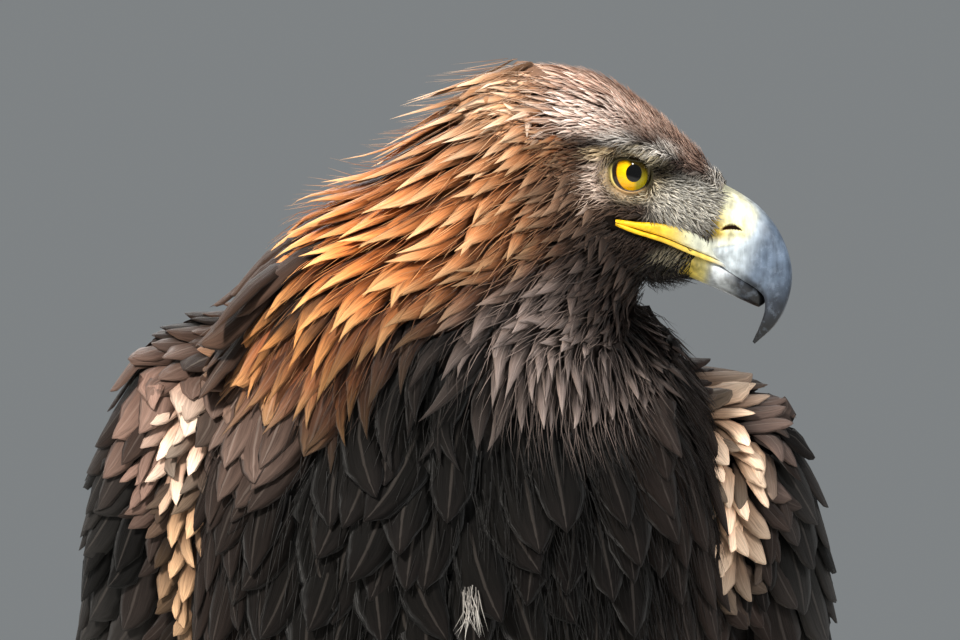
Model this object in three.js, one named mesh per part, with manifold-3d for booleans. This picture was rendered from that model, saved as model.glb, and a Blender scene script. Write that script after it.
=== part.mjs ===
// A life-size golden eagle that stands on its feet with its head turned to its left.
// Millimetres, +Z up. The bird faces -Y, so its left side is +X.
import * as THREE from "three";
import Module from "manifold-3d";

const wasm = await Module();
wasm.setup();

const V = (x, y, z) => new THREE.Vector3(x, y, z);
const rad = THREE.MathUtils.degToRad;
const mix = THREE.MathUtils.lerp;

// Driving sizes
const BODY_TILT = rad(57); // how steeply the back falls towards the tail
const SHOULDER = V(0, -20, 545); // start of the body axis, between the shoulders
const BODY_LENGTH = 315; // shoulders to tail root
const TAIL_LENGTH = 300;
const WING_LENGTH = 590; // shoulder line to the longest primary's tip
const RIGHT_RISE = 13; // the right shoulder is held this much higher than the left
const EYE = V(62, -45, 621); // middle of the head, level with the eyes
const EYE_RADIUS = 11;
const EYE_PLACE = [-4, 20]; // eyeball centre behind the visible eye's middle, and out from the middle of the head
const GAZE = rad(28); // each eye looks this much forwards of straight sideways
const HEAD_YAW = rad(3); // the head looks a little towards the front
const FOOT_ASIDE = 54; // each foot from the middle
const FOOT_BACK = 20; // where the middle of the foot stands along Y
const ANKLE = V(FOOT_ASIDE, 46, 118); // top of the feathered shank
const GAP = 0.3; // kept between neighbouring pieces
const VANE_THICK = 0.9;

// The body axis runs down the back. along() gives a point at q down it, x aside and m out from the back.
const DOWN_BACK = V(0, Math.cos(BODY_TILT), -Math.sin(BODY_TILT));
const OUT_BACK = V(0, Math.sin(BODY_TILT), Math.cos(BODY_TILT));

function along(q, x, m) {
  return SHOULDER.clone().addScaledVector(DOWN_BACK, q).addScaledVector(OUT_BACK, m).add(V(x, 0, 0));
}

// Values between the rows of a table of named sizes, smooth across each row
function between(rows, at) {
  const last = rows.length - 1;
  let i = 0;
  while (i < last - 1 && at > rows[i + 1][0]) i++;
  const t = THREE.MathUtils.clamp((at - rows[i][0]) / (rows[i + 1][0] - rows[i][0]), 0, 1);
  return rows[i].map((_, c) => {
    const [a, b] = [rows[i][c], rows[i + 1][c]];
    const before = rows[Math.max(i - 1, 0)];
    const after = rows[Math.min(i + 2, last)];
    const span = rows[i + 1][0] - rows[i][0];
    const slopeA = ((b - before[c]) / (rows[i + 1][0] - before[0])) * span;
    const slopeB = ((after[c] - a) / (after[0] - rows[i][0])) * span;
    const [t2, t3] = [t * t, t * t * t];
    return (2 * t3 - 3 * t2 + 1) * a + (t3 - 2 * t2 + t) * slopeA + (3 * t2 - 2 * t3) * b + (t3 - t2) * slopeB;
  });
}

// Solids

// A closed solid from points and triangles, turned so that its faces look out
function closed(points, faces) {
  let volume = 0;
  for (let i = 0; i < faces.length; i += 3) {
    const [a, b, c] = [points[faces[i]], points[faces[i + 1]], points[faces[i + 2]]];
    volume += a.dot(b.clone().cross(c));
  }
  if (volume < 0) faces.reverse();
  const vertProperties = new Float32Array(points.flatMap((p) => p.toArray()));
  return new wasm.Manifold(new wasm.Mesh({ numProp: 3, vertProperties, triVerts: new Uint32Array(faces) }));
}

// Triangles of a grid of points, each square split along its shorter diagonal. wrap closes each row on itself.
function gridFaces(points, start, rows, cols, wrap = false) {
  const faces = [];
  for (let i = 0; i + 1 < rows; i++)
    for (let j = 0; j < (wrap ? cols : cols - 1); j++) {
      const [a, b] = [start + i * cols + j, start + i * cols + ((j + 1) % cols)];
      const [c, d] = [b + cols, a + cols];
      const straight = points[a].distanceTo(points[c]) < points[b].distanceTo(points[d]);
      if (straight) faces.push(a, b, c, a, c, d);
      else faces.push(a, b, d, b, c, d);
    }
  return faces;
}

// A solid through rings with equally many points, closed at both ends
function loft(rings) {
  const n = rings[0].length;
  const points = rings.flat();
  const faces = gridFaces(points, 0, rings.length, n, true);
  const end = points.length - n;
  for (let j = 1; j + 1 < n; j++) faces.push(0, j + 1, j, end, end + j, end + j + 1);
  return closed(points, faces);
}

// The border of a grid as four runs of point numbers, corner to corner and all the way round
function borders(start, rows, cols) {
  const at = (i, j) => start + i * cols + j;
  const [last, edge] = [rows - 1, cols - 1];
  return [
    Array.from({ length: cols }, (_, j) => at(0, j)),
    Array.from({ length: rows }, (_, i) => at(i, edge)),
    Array.from({ length: cols }, (_, j) => at(last, edge - j)),
    Array.from({ length: rows }, (_, i) => at(last - i, 0)),
  ];
}

// A solid between an upper and a lower grid of points, which may differ in rows and columns
function sheet(upper, lower) {
  const points = [...upper.flat(), ...lower.flat()];
  const below = upper.length * upper[0].length;
  const faces = gridFaces(points, 0, upper.length, upper[0].length);
  const under = gridFaces(points, below, lower.length, lower[0].length);
  for (let i = 0; i < under.length; i += 3) faces.push(under[i], under[i + 2], under[i + 1]);
  const top = borders(0, upper.length, upper[0].length);
  const bottom = borders(below, lower.length, lower[0].length);
  for (let run = 0; run < 4; run++) {
    const [p, q] = [top[run], bottom[run]];
    let [i, j] = [0, 0];
    while (i + 1 < p.length || j + 1 < q.length) {
      const stepTop = i + 1 < p.length ? points[p[i + 1]].distanceTo(points[q[j]]) : Infinity;
      const stepBottom = j + 1 < q.length ? points[p[i]].distanceTo(points[q[j + 1]]) : Infinity;
      if (stepTop <= stepBottom) faces.push(p[i + 1], p[i++], q[j]);
      else faces.push(p[i], q[j], q[++j]);
    }
  }
  return closed(points, faces);
}

const join = (solids) => wasm.Manifold.union(solids);

// The largest closed surface of a solid
function largest(solid) {
  return solid.decompose().reduce((a, b) => (b.volume() > a.volume() ? b : a));
}

// Oval of n points about a centre, between two axes. full pushes the corners out, 1 being a plain ellipse.
function oval(centre, side, up, n, full = 1) {
  return Array.from({ length: n }, (_, j) => {
    const angle = (2 * Math.PI * j) / n;
    const [c, s] = [Math.cos(angle), Math.sin(angle)];
    const x = Math.sign(s) * Math.abs(s) ** full;
    const y = Math.sign(c) * Math.abs(c) ** full;
    return centre.clone().addScaledVector(side, x).addScaledVector(up, y);
  });
}

// A round tube along a path, both given as functions of t from 0 to 1
function tube(path, radius, steps, n, flat = 1) {
  return loft(
    Array.from({ length: steps + 1 }, (_, i) => {
      const t = i / steps;
      const ahead = path(Math.min(t + 0.01, 1)).sub(path(Math.max(t - 0.01, 0))).normalize();
      const side = ahead.clone().cross(Math.abs(ahead.z) > 0.9 ? V(0, 1, 0) : V(0, 0, 1)).normalize();
      const up = side.clone().cross(ahead);
      return oval(path(t), side.multiplyScalar(radius(t)), up.multiplyScalar(radius(t) * flat), n);
    }),
  );
}

// An egg shape with n points round each ring, from its three radii
function egg(centre, [wide, deep, tall], n) {
  const rings = Array.from({ length: n / 2 + 1 }, (_, i) => {
    const down = Math.PI * mix(0.05, 0.95, (2 * i) / n);
    const [height, share] = [-tall * Math.cos(down), Math.sin(down)];
    return oval(centre.clone().add(V(0, 0, height)), V(wide * share, 0, 0), V(0, deep * share, 0), n);
  });
  return loft(rings);
}

// Width of a feather along it, as a share of its greatest: rounded, or long and narrow for flight feathers
const ROUNDED = [[0, 0.75], [0.5, 1], [0.87, 0.86], [1, 0.3]];
const QUILLED = [[0, 0.55], [0.5, 1], [0.9, 0.8], [1, 0.2]];

// A feather or lock as a thin vane that follows a surface. surface(u, v, lift) gives a point: u runs the way the
// feathers lie and v across them. half is half the vane's width in v, lifts are those of its root and tip, and
// roll lifts one edge over the next feather and lowers the other. A hump gives a third point, raised, in the middle.
function vane(surface, { from, reach, at, half, shape, lifts, roll = 0, hump = 0, thick = VANE_THICK }) {
  const places = hump ? [[-1, 0], [0, hump], [1, 0]] : [[-1, 0], [1, 0]];
  const grid = (drop) =>
    shape.map(([t, share]) =>
      places.map(([c, rise]) => {
        const lift = mix(...lifts, t) + c * roll * share + rise - drop * (t === 1 ? 0.6 : 1);
        return surface(from + reach * t, at + c * half * share, lift);
      }));
  return sheet(grid(0), grid(thick));
}

// Columns of one feather in a tier: place across it, where its edge ends as a share of its length, and its hump
const LOCK = [[0, 0.42, -0.9], [0.3, 0.84, 0.2], [0.6, 1, 0.5]];
const TUFT = [[0, 0.54, -1.2], [0.3, 0.86, 0.3], [0.62, 1, 0.6]];
const COVERT = [[0, 0.62, -0.9], [0.3, 0.97, 0.4], [0.68, 1, 0.4]];
const SUNK = -1.2; // how deep the roots of a tier lie under the surface
const FULL_LENGTH = 30; // feathers shorter than this stand off less

// Tiers of overlapping feathers as rows of points on a surface: each row of tips hangs over the roots of the next.
// A tier is [from, reach, lift] with the roots' u, the feathers' length in u and how far their tips stand off.
// whole is the length in v, base lifts or lowers all of it, open says that the rows don't close on themselves, so
// that their ends lie flat on the surface, and smooth tells at which v no feathers stand off.
function tiered(surface, { tiers, count, first, whole, shape, open = false, smooth, seed = 0, base = 0 }) {
  const n = shape.length;
  const columns = Array.from({ length: count * n + (open ? 1 : 0) }, (_, j) => j);
  const groove = shape[0][1] - 0.05; // where the feathers come apart, as a share of their length
  return tiers.flatMap(([from, reach, lift], row) => {
    const turned = row % n;
    const parts = columns.map((j) => {
      const lock = Math.floor((j + turned) / n);
      const [place, end, hump] = shape[(j + turned) % n];
      const odd = place === 0 ? 0 : jitter(seed + 31 * row + (lock % count));
      const aside = place === 0 ? 0 : 0.09 * jitter(seed + 31 * row + (lock % count) + 0.5);
      const v = first + (whole * j) / (n * count);
      const tip = v + (whole * (aside + place - ((j + turned) % n) / n)) / count;
      const long = end * (1 + 0.08 * odd);
      const size = surface(from, tip, 0).distanceTo(surface(from + reach, tip, 0));
      const high = lift * long * Math.min(1, size / FULL_LENGTH) + hump;
      const flat = smooth ? smooth(v) : open && (j === 0 || j === count * n);
      return { flat, v, tip, long, high };
    });
    const flatAt = ({ v }, share) => surface(from + reach * groove * share, v, base + SUNK);
    const partedAt = ({ v, long, high }, deeper) =>
      surface(from + reach * groove, v, base + mix(SUNK, high, groove / long) - deeper);
    const rows = [
      (part) => flatAt(part, 0),
      (part) => partedAt(part, 0),
      ({ tip, long, high }) => surface(from + reach * long, tip, base + high),
      (part) => partedAt(part, VANE_THICK),
    ];
    return rows.map((place, i) => parts.map((part) => (part.flat ? flatAt(part, i / rows.length) : place(part))));
  });
}

// The tiers that follow one another down a surface: each starts where the feathers of the one before come apart
function following(from, lengths, lift, shape) {
  let at = from;
  return lengths.map((reach) => {
    const tier = [at, reach, lift];
    at += reach * (shape[0][1] - 0.05);
    return tier;
  });
}

// The same small irregularity each time: numbers from -1 to 1 that look random
function jitter(seed) {
  const value = Math.sin(seed * 127.1 + 311.7) * 43758.5453;
  return 2 * (value - Math.floor(value)) - 1;
}

// Body and neck: rings down the neck and torso, with a cross-section and a turn for each

// Down the axis: q, then how far the back and the breast stand out, and the half width
const TORSO = [
  [-25, 44, -88, 79],
  [0, 48, -113, 91],
  [45, 42, -131, 96],
  [95, 36, -136, 97],
  [145, 28, -130, 93],
  [195, 20, -112, 82],
  [240, 12, -86, 66],
  [280, 5, -58, 48],
  [BODY_LENGTH, -2, -34, 30],
];
// From the back of the skull to the shoulders: step, a point at the nape, one at the throat, the half width,
// and by how many degrees the lie of the feathers lags behind the turn of the head
const NECK = [
  [0, 6, -45, 650, 62, -45, 573, 37, -62],
  [1, -20, -36, 624, 54, -72, 562, 43, -52],
  [2, -27, -9, 608, 30, -104, 547, 65, -24],
];
const NECK_STEPS = 3; // where the neck's rows end and the torso's begin
const STEP_LENGTH = 30; // of a step further down the torso

// A cross-section of the torso at q down the body axis
function torsoRing(q) {
  const [, back, breast, half] = between(TORSO, q);
  const middle = (back + breast) / 2;
  const up = OUT_BACK.clone().multiplyScalar((back - breast) / 2);
  return { centre: along(q, 0, middle), side: V(half, 0, 0), up };
}

// A cross-section of the neck at a step from 0 at the skull, turning from the head's midplane to the body's
function neckRing(step) {
  const { centre, side, up } = torsoRing(TORSO[0][0]);
  const end = [NECK_STEPS, ...centre.clone().add(up), ...centre.clone().sub(up), side.length(), 0];
  const [, napeX, napeY, napeZ, throatX, throatY, throatZ, half, lag] = between([...NECK, end], step);
  const [nape, throat] = [V(napeX, napeY, napeZ), V(throatX, throatY, throatZ)];
  const upward = nape.clone().sub(throat).multiplyScalar(0.5);
  const aside = V(upward.y, -upward.x, 0).setLength(half);
  return { centre: nape.add(throat).multiplyScalar(0.5), side: aside, up: upward, lag };
}

const ringOf = (k) => (k < NECK_STEPS ? neckRing(k) : torsoRing(TORSO[0][0] + (k - NECK_STEPS) * STEP_LENGTH));

// A cross-section as points, made larger all round by grow
function ringPoints({ centre, side, up }, n, grow = 0) {
  const wide = side.clone().setLength(side.length() + grow);
  const deep = up.clone().setLength(up.length() + grow);
  return oval(centre, wide, deep, n, 0.94);
}

// Everything on the neck's side of its first ring, to cut the head with
function behindHead() {
  const { centre, side, up } = neckRing(0);
  const forward = up.clone().cross(side).normalize();
  const ahead = neckRing(0.1).centre.sub(centre).dot(forward) > 0 ? -1 : 1;
  const ringAt = (far) =>
    oval(centre.clone().addScaledVector(forward, ahead * far), side.clone().setLength(90), up.clone().setLength(90), 4);
  return loft([ringAt(GAP), ringAt(-120)]);
}

const TORSO_Q = [-25, -6, 25, 65, 110, 155, 200, 240, 280, BODY_LENGTH];
const torsoSolid = (grow = 0) =>
  loft(TORSO_Q.map((q, i) => {
    const end = i === 0 ? -grow : i === TORSO_Q.length - 1 ? grow : 0;
    const ring = torsoRing(q);
    ring.centre.addScaledVector(DOWN_BACK, end);
    return ringPoints(ring, 24, grow);
  }));

// A point on the neck or torso at k down it, at an angle from the breast (0) by its right side to the back (180).
// The lag is strongest on the side that the head turns from.
function onBody(k, angle, lift) {
  const { centre, side, up, lag = 0 } = ringOf(k);
  const turned = angle - lag * mix(0.15, 1, (1 + Math.cos(rad(angle - 35))) / 2);
  const [c, s] = [-Math.cos(rad(turned)), -Math.sin(rad(turned))];
  const out = side.clone().multiplyScalar(s / side.lengthSq()).addScaledVector(up, c / up.lengthSq()).normalize();
  return centre.clone().addScaledVector(side, s).addScaledVector(up, c).addScaledVector(out, lift);
}

// Long pointed feathers of the neck: the length of each tier in steps down the neck, and how many go round it
const HACKLE_START = 0.26;
const HACKLE_LENGTHS = [0.94, 1, 1.04, 1.06, 1.08, 1.1, 1.08];
const HACKLES_ROUND = 14;
const HACKLE_LIFT = 7; // of the tips off the neck
const HACKLE_SEED = 3000;

function hackles() {
  const tiers = following(HACKLE_START, HACKLE_LENGTHS, HACKLE_LIFT, LOCK);
  const insideBend = (angle) => angle > 222 && angle < 332;
  const round = { count: HACKLES_ROUND, first: 0, whole: 360, shape: LOCK, smooth: insideBend, seed: HACKLE_SEED };
  const rows = tiered(onBody, { tiers, ...round });
  const n = rows[0].length;
  const ring = (k) => Array.from({ length: n }, (_, j) => onBody(k, (360 * j) / n, SUNK));
  return loft([ring(0), ...rows, ring(NECK_STEPS - 0.012)]);
}

// Feathers of the upper back between the wings: q of the roots, length, and how far to each side
const MANTLE = [
  [12, 66, 11.5],
  [54, 74, 9],
];

function mantle() {
  return MANTLE.flatMap(([q, reach, wide], row) =>
    [-1, 0, 1].filter((i) => row % 2 === 0 || i !== 0).map((i) =>
      vane(onBody, {
        from: NECK_STEPS + (q - TORSO[0][0]) / STEP_LENGTH,
        reach: (reach / STEP_LENGTH) * (1 - 0.12 * Math.abs(i)),
        at: 180 + i * wide * 0.66,
        half: wide * 0.4,
        shape: ROUNDED,
        lifts: [-3, 3.5 - Math.abs(i)],
      })));
}

// Head: rings along it from nape to cere, as x from the eye, top, bottom and half width

const HEAD = [
  [-60, 24, 2, 13],
  [-54, 33, -14, 25],
  [-42, 37.5, -26, 33],
  [-25, 38, -35, 36.5],
  [-8, 33.5, -39.5, 35.5],
  [6, 24, -38.5, 31],
  [16, 15.5, -36, 24.5],
  [26, 6.5, -32.5, 17.5],
  [33, 0, -27, 12.8],
  [36, -4, -24, 11],
];
const HEAD_FRAME = new THREE.Matrix4().makeRotationZ(-HEAD_YAW).setPosition(EYE);
const inHead = (x, y, z) => V(x, y, z).applyMatrix4(HEAD_FRAME);

function headSolid(grow = 0) {
  const xs = [-60, -54, -46, -36, -25, -14, -4, 6, 14, 22, 29, 36];
  return loft(xs.map((x, i) => {
    const [, top, bottom, half] = between(HEAD, x);
    const end = i === 0 ? -grow : i === xs.length - 1 ? grow : 0;
    const middle = (top + bottom) / 2;
    return oval(V(x + end, 0, middle), V(0, half + grow, 0), V(0, 0, (top - bottom) / 2 + grow), 20, 0.9);
  })).transform(HEAD_FRAME.toArray());
}

// Where each eyeball sits; side is -1 for the right eye and 1 for the left
const eyeCentre = (side) => inHead(EYE_PLACE[0], side * EYE_PLACE[1], 0);
const eyeball = (side, grow = 0) => egg(eyeCentre(side), Array(3).fill(EYE_RADIUS + grow), 12);

// A ridge over each eye that shades it, from behind the eye to the lores: how far along, x, aside, z and radius
const BROW = [
  [0, -13, 31, 9.3, 2.2],
  [0.35, -2, 31.2, 10.3, 3.6],
  [0.6, 7, 27.8, 8.7, 3.8],
  [0.85, 16, 21.4, 3.9, 3.2],
  [1, 23, 16.2, -0.2, 1.8],
];

function brow(side) {
  const at = (t) => between(BROW, t);
  return tube((t) => inHead(at(t)[1], side * at(t)[2], at(t)[3]), (t) => at(t)[4], 5, 6, 0.9);
}

// Rim of skin round the opening of the eye
function lids(side) {
  const [turns, opening, thick] = [10, 7.8, 1.5];
  const gaze = V(Math.sin(GAZE), side * Math.cos(GAZE), 0);
  const across = V(Math.cos(GAZE), -side * Math.sin(GAZE), 0);
  const middle = V(EYE_PLACE[0], side * EYE_PLACE[1], 0).addScaledVector(gaze, 8.6);
  const rings = Array.from({ length: turns }, (_, i) => {
    const a = (2 * Math.PI * i) / turns;
    const away = across.clone().multiplyScalar(Math.cos(a)).add(V(0, 0, 0.88 * Math.sin(a)));
    const point = middle.clone().addScaledVector(away, opening);
    const ring = oval(point, away.clone().multiplyScalar(thick), gaze.clone().multiplyScalar(thick), 5);
    return ring.map((p) => p.applyMatrix4(HEAD_FRAME));
  });
  const n = rings[0].length;
  const faces = [];
  for (let i = 0; i < turns; i++)
    for (let j = 0; j < n; j++) {
      const k = (i + 1) % turns;
      const [a, b, c, d] = [i * n + j, i * n + ((j + 1) % n), k * n + ((j + 1) % n), k * n + j];
      faces.push(a, b, c, a, c, d);
    }
  return closed(rings.flat(), faces);
}

// The hollow in front of and round the eye
const orbit = (side) => egg(inHead(8, side * 43, -2), [20, 20, 15], 12);

// Bill: pairs of points along its upper half, the ridge above and the cutting edge below, with a half width

const UPPER_BILL = [
  [0, 27, 0.6, 14, -22.5, 12.4],
  [1, 34.4, -3.6, 24, -27.4, 12],
  [2, 40.8, -7.2, 31, -31.2, 11.2],
  [3, 47.8, -12.4, 36.5, -35.3, 10],
  [4, 54, -20.2, 41.6, -38.6, 8.4],
  [5, 58, -29.6, 46, -41.4, 6.6],
  [6, 59, -38.6, 49, -44.6, 4.9],
  [7, 56.9, -47.6, 49.2, -49.6, 3.5],
  [8, 52.6, -55, 47.6, -54.6, 2.1],
  [9, 45.6, -61.4, 44.8, -60.6, 0.5],
];

// A cross-section of the upper bill: round over the ridge, with straight cheeks down to the cutting edge
function upperBillRing(step, grow) {
  const [, topX, topZ, edgeX, edgeZ, half] = between(UPPER_BILL, step);
  const [top, edge] = [V(topX, 0, topZ), V(edgeX, 0, edgeZ)];
  const rise = top.clone().sub(edge);
  const shape = [[1, 0], [0.93, 0.5], [0.72, 0.82], [0.42, 1], [0.14, 0.97], [0, 0.8]];
  const outline = [...shape, ...shape.slice(1).reverse().map(([h, w]) => [h, -w])];
  return outline.map(([h, w]) => {
    const point = edge.clone().addScaledVector(rise, h).add(V(0, w * half, 0));
    const out = rise.clone().normalize().multiplyScalar(h - 0.5).add(V(0, w, 0)).normalize();
    return point.addScaledVector(out, grow).applyMatrix4(HEAD_FRAME);
  });
}

const upperBillCore = (grow = 0) =>
  loft([0, 1, 1.7, 2.4, 3.1, 3.8, 4.5, 5.2, 6, 6.8, 7.6, 8.4, 9].map((step) => upperBillRing(step, grow)));

// Fleshy yellow edge of the mouth, from under the eye to the bill, above or below the mouth line
function gapeEdge(below, side, grow = 0) {
  const rows = [
    [0, -6, -17.4, 31.4, 1.1],
    [0.25, 2, -19.4, 28.8, 1.6],
    [0.5, 11, -22.9, 23.6, 2],
    [0.75, 20.5, -26.4, 16.6, 2.2],
    [1, 33, -32, 8.6, 2],
  ];
  const at = (t) => between(rows, t);
  const drop = below ? -1 : 1;
  return tube((t) => {
    const [, x, z, y, r] = at(t);
    return inHead(x, side * y, z + drop * (r + GAP / 2));
  }, (t) => at(t)[4] + grow, 4, 6, 1);
}

const NOSTRIL = { x: 37, z: -20.4, length: 6.4, height: 2.2, slope: rad(-12) };

// The hole of a nostril, a slanting oval, as a plug to cut with
function nostrilPlug(side) {
  const { x, z, length, height, slope } = NOSTRIL;
  const long = V(Math.cos(slope), 0, Math.sin(slope)).multiplyScalar(length / 2);
  const tall = V(-Math.sin(slope), 0, Math.cos(slope)).multiplyScalar(height / 2);
  const ringAt = (y) => oval(V(x, side * y, z), long, tall, 10).map((p) => p.applyMatrix4(HEAD_FRAME));
  return loft([ringAt(7), ringAt(16)]);
}

function upperBill(grow = 0) {
  const parts = [upperBillCore(grow), gapeEdge(false, -1, grow), gapeEdge(false, 1, grow)];
  return join(parts);
}

// Lower half of the bill: x, then its cutting edge above and its keel below, and a half width
const LOWER_BILL = [
  [10, -23.5, -34, 11.2],
  [20, -26.7, -36.6, 10.8],
  [28, -30.1, -39.8, 9.8],
  [35, -34.3, -42.8, 8.4],
  [41, -38.4, -45.6, 6.6],
  [46, -42.6, -47.8, 4.4],
  [48.6, -45.4, -48.4, 2.8],
];

function lowerBillCore(grow = 0) {
  const xs = LOWER_BILL.map(([x]) => x);
  return loft(xs.map((x, i) => {
    const [, edge, keel, half] = between(LOWER_BILL, x);
    const end = i === 0 ? -grow : i === xs.length - 1 ? grow : 0;
    const shape = [[0, -0.9], [0, 0.9], [0.35, 1], [0.8, 0.66], [1, 0.2], [1, -0.2], [0.8, -0.66], [0.35, -1]];
    return shape.map(([h, w]) => {
      const middle = (edge + keel) / 2;
      const z = mix(edge - GAP, keel, h);
      return inHead(x + end, w * half + Math.sign(w) * grow, z + Math.sign(z - middle) * grow);
    });
  }));
}

const lowerBill = (grow = 0) =>
  join([lowerBillCore(grow), gapeEdge(true, -1, grow), gapeEdge(true, 1, grow)]);

// Folded wing: a former round the side of the body, wider and further out than the torso
// Down the axis: q, height of its middle off the axis, half width, half depth, and the angles of its front and back
const WING = [
  [-24, -11, 97, 36, -30, 66],
  [-12, -10, 112, 47, -46, 72],
  [4, -10, 121, 56, -50, 78],
  [40, -18, 133, 68, -51, 80],
  [90, -26, 138, 73, -50, 82],
  [130, -28, 138, 71, -47, 83],
  [180, -30, 131, 68, -42, 84],
  [240, -26, 115, 58, -34, 85],
  [300, -20, 95, 46, -24, 86],
  [360, -12, 75, 36, -10, 86],
  [430, -4, 57, 26, 6, 86],
  [500, 2, 44, 19, 18, 86],
  [560, 5, 33, 14, 26, 85],
  [600, 6, 26, 11, 32, 84],
];

// A point on a wing at q down it, across from its front edge (0) to the back (1), lifted off the former.
// inward pulls it towards the wing's middle line as a share of the way.
function onWing(side, q, across, lift, inward = 0) {
  const [, middle, wide, deep, front, back] = between(WING, q);
  const angle = rad(mix(front, back, across));
  const [c, s] = [Math.cos(angle), Math.sin(angle)];
  const out = V(side * (c / wide), 0, 0).addScaledVector(OUT_BACK, s / deep).normalize();
  const keep = 1 - inward;
  const rise = side < 0 ? RIGHT_RISE * (1 - THREE.MathUtils.smoothstep(q, 60, 300)) : 0;
  const point = along(q - rise, side * wide * c * keep, middle + deep * s * keep).addScaledVector(out, lift);
  const nearest = 2; // keeps each wing on its own side of the back
  point.x = side * Math.max(side * point.x, nearest);
  return point;
}

// Small feathers of the wing: the length of each tier and how far its tips stand off, and how many go across
const COVERT_START = -14;
const COVERT_LENGTHS = [44, 48, 52, 58, 66, 76, 92];
const COVERT_LIFT = 6;
const COVERT_SEED = 109;
const COVERTS_ACROSS = 7;
const WING_SUNK = 5; // the wing itself lies this far under the tips of its feathers

const SECONDARIES = { q: 236, length: 192, count: 6, first: 0.22, last: 1, lifts: [-15, -3] };
const PRIMARY_TIPS = [0, 18, 42, 74, 112]; // how far short of the wing's tip each ends, the longest first
const PRIMARY_ROOT = 290;
const PRIMARY_STEP = 1.7; // each lies this much under the one before it

// The wing under its long feathers: a slab whose outer face carries tiers of coverts
function wingCore(side) {
  const surface = (q, across, lift) => onWing(side, q, across, lift);
  const upper = tiered(surface, {
    tiers: following(COVERT_START, COVERT_LENGTHS, COVERT_LIFT, COVERT),
    count: COVERTS_ACROSS,
    first: 0.02,
    whole: 0.96,
    shape: COVERT,
    open: true,
    seed: COVERT_SEED,
    base: -WING_SUNK,
  });
  const across = upper[0].length - 1;
  const beyond = [[270, 9], [330, 8], [400, 8]];
  for (const [q, sunk] of beyond) upper.push(upper[0].map((_, j) => surface(q, mix(0.02, 0.98, j / across), -sunk)));
  const depth = [[COVERT_START, 0.4], [150, 0.5], [250, 0.45], [300, 0.36], [400, 0.37]];
  const lower = [COVERT_START, 20, 80, 150, 220, 300, 400].map((q) =>
    [0.02, 0.25, 0.5, 0.75, 0.98].map((place) => onWing(side, q, place, 0, between(depth, q)[1])));
  return sheet(upper, lower);
}

// The long feathers of the inner wing, each lying over its neighbour towards the front edge
function secondaries(side) {
  const { q, length, count, first, last, lifts } = SECONDARIES;
  return Array.from({ length: count }, (_, i) =>
    vane((u, across, lift) => onWing(side, u, across, lift), {
      from: q,
      reach: length * (1 - 0.03 * i + 0.02 * jitter(i + 0.6)),
      at: mix(first, last, (i + 0.5) / count),
      half: ((last - first) / count) * 0.56,
      shape: ROUNDED,
      lifts,
      roll: 0.8,
      thick: 1.1,
    }));
}

// The longest feathers, stacked one under another, which make the folded wing's point
function primaries(side) {
  return PRIMARY_TIPS.map((short, i) =>
    vane((u, across, lift) => onWing(side, u, across, lift), {
      from: PRIMARY_ROOT,
      reach: WING_LENGTH - short - PRIMARY_ROOT,
      at: mix(0.18, 0.8, i / (PRIMARY_TIPS.length - 1)),
      half: 0.17,
      shape: QUILLED,
      lifts: [-11 - PRIMARY_STEP * i, -2 - PRIMARY_STEP * i],
      thick: 1.2,
    }));
}

function wingSolid(side) {
  return join([wingCore(side), ...secondaries(side), ...primaries(side)]);
}

// Tail

const TAIL_LIFT = 4; // how far the tip comes up towards the wing tips
const TAIL_SPREAD = [14, 44]; // from the middle to the outermost feather's own middle, at the root and at the tip
const TAIL_PAIRS = 6;
const TAIL_STEP = 1.8; // each pair lies this much under the one before it
const TAIL_MIDDLE = -14; // height of the middle of the tail off the body axis

const onTail = (q, x, m) => along(BODY_LENGTH + q, x, m + TAIL_MIDDLE + (TAIL_LIFT * q) / TAIL_LENGTH);

// One tail feather; pair counts from the middle outwards. Each side keeps to itself but for the top feather.
function tailFeather(side, pair) {
  const share = (pair + 0.35) / TAIL_PAIRS;
  const top = pair === 0 && side > 0;
  const fan = (q, x, m) => {
    const aside = x + side * share * mix(...TAIL_SPREAD, q / TAIL_LENGTH);
    return onTail(q, top ? aside : side * Math.max(side * aside, 0.5 + 0.4 * pair), m);
  };
  return vane(fan, {
    from: 6,
    reach: TAIL_LENGTH - 24 * share ** 2 - (side < 0 ? 3 : 0) - 6,
    at: 0,
    half: 21,
    shape: QUILLED,
    lifts: [2, 5].map((m) => m - TAIL_STEP * pair + (top ? 1.6 : 0)),
    roll: -0.15 * side,
    thick: 1,
  });
}

// Short feathers over and under the root of the tail
function tailCoverts(above) {
  return [-1, 0, 1].map((i) =>
    vane((q, x, m) => onTail(q, x * mix(0.8, 1.2, q / 120), m), {
      from: 10,
      reach: (above ? 100 : 130) * (1 - 0.14 * Math.abs(i)),
      at: 17 * i,
      half: 12.5,
      shape: ROUNDED,
      lifts: (above ? [3, 11] : [-12, -17]).map((m) => m + (above ? 1.5 : -1.5) * (i === 0 ? 1 : 0)),
    }));
}

function tailSolid() {
  const core = loft([GAP, 22, 50].map((q, i) => {
    const thick = OUT_BACK.clone().multiplyScalar(mix(13, 7, i / 2));
    return oval(onTail(q, 0, -4), V(mix(26, 17, i / 2), 0, 0), thick, 10);
  }));
  const pairs = Array.from({ length: TAIL_PAIRS }, (_, pair) => [tailFeather(-1, pair), tailFeather(1, pair)]);
  return join([core, ...pairs.flat(), ...tailCoverts(true), ...tailCoverts(false)]);
}

// Legs

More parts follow.
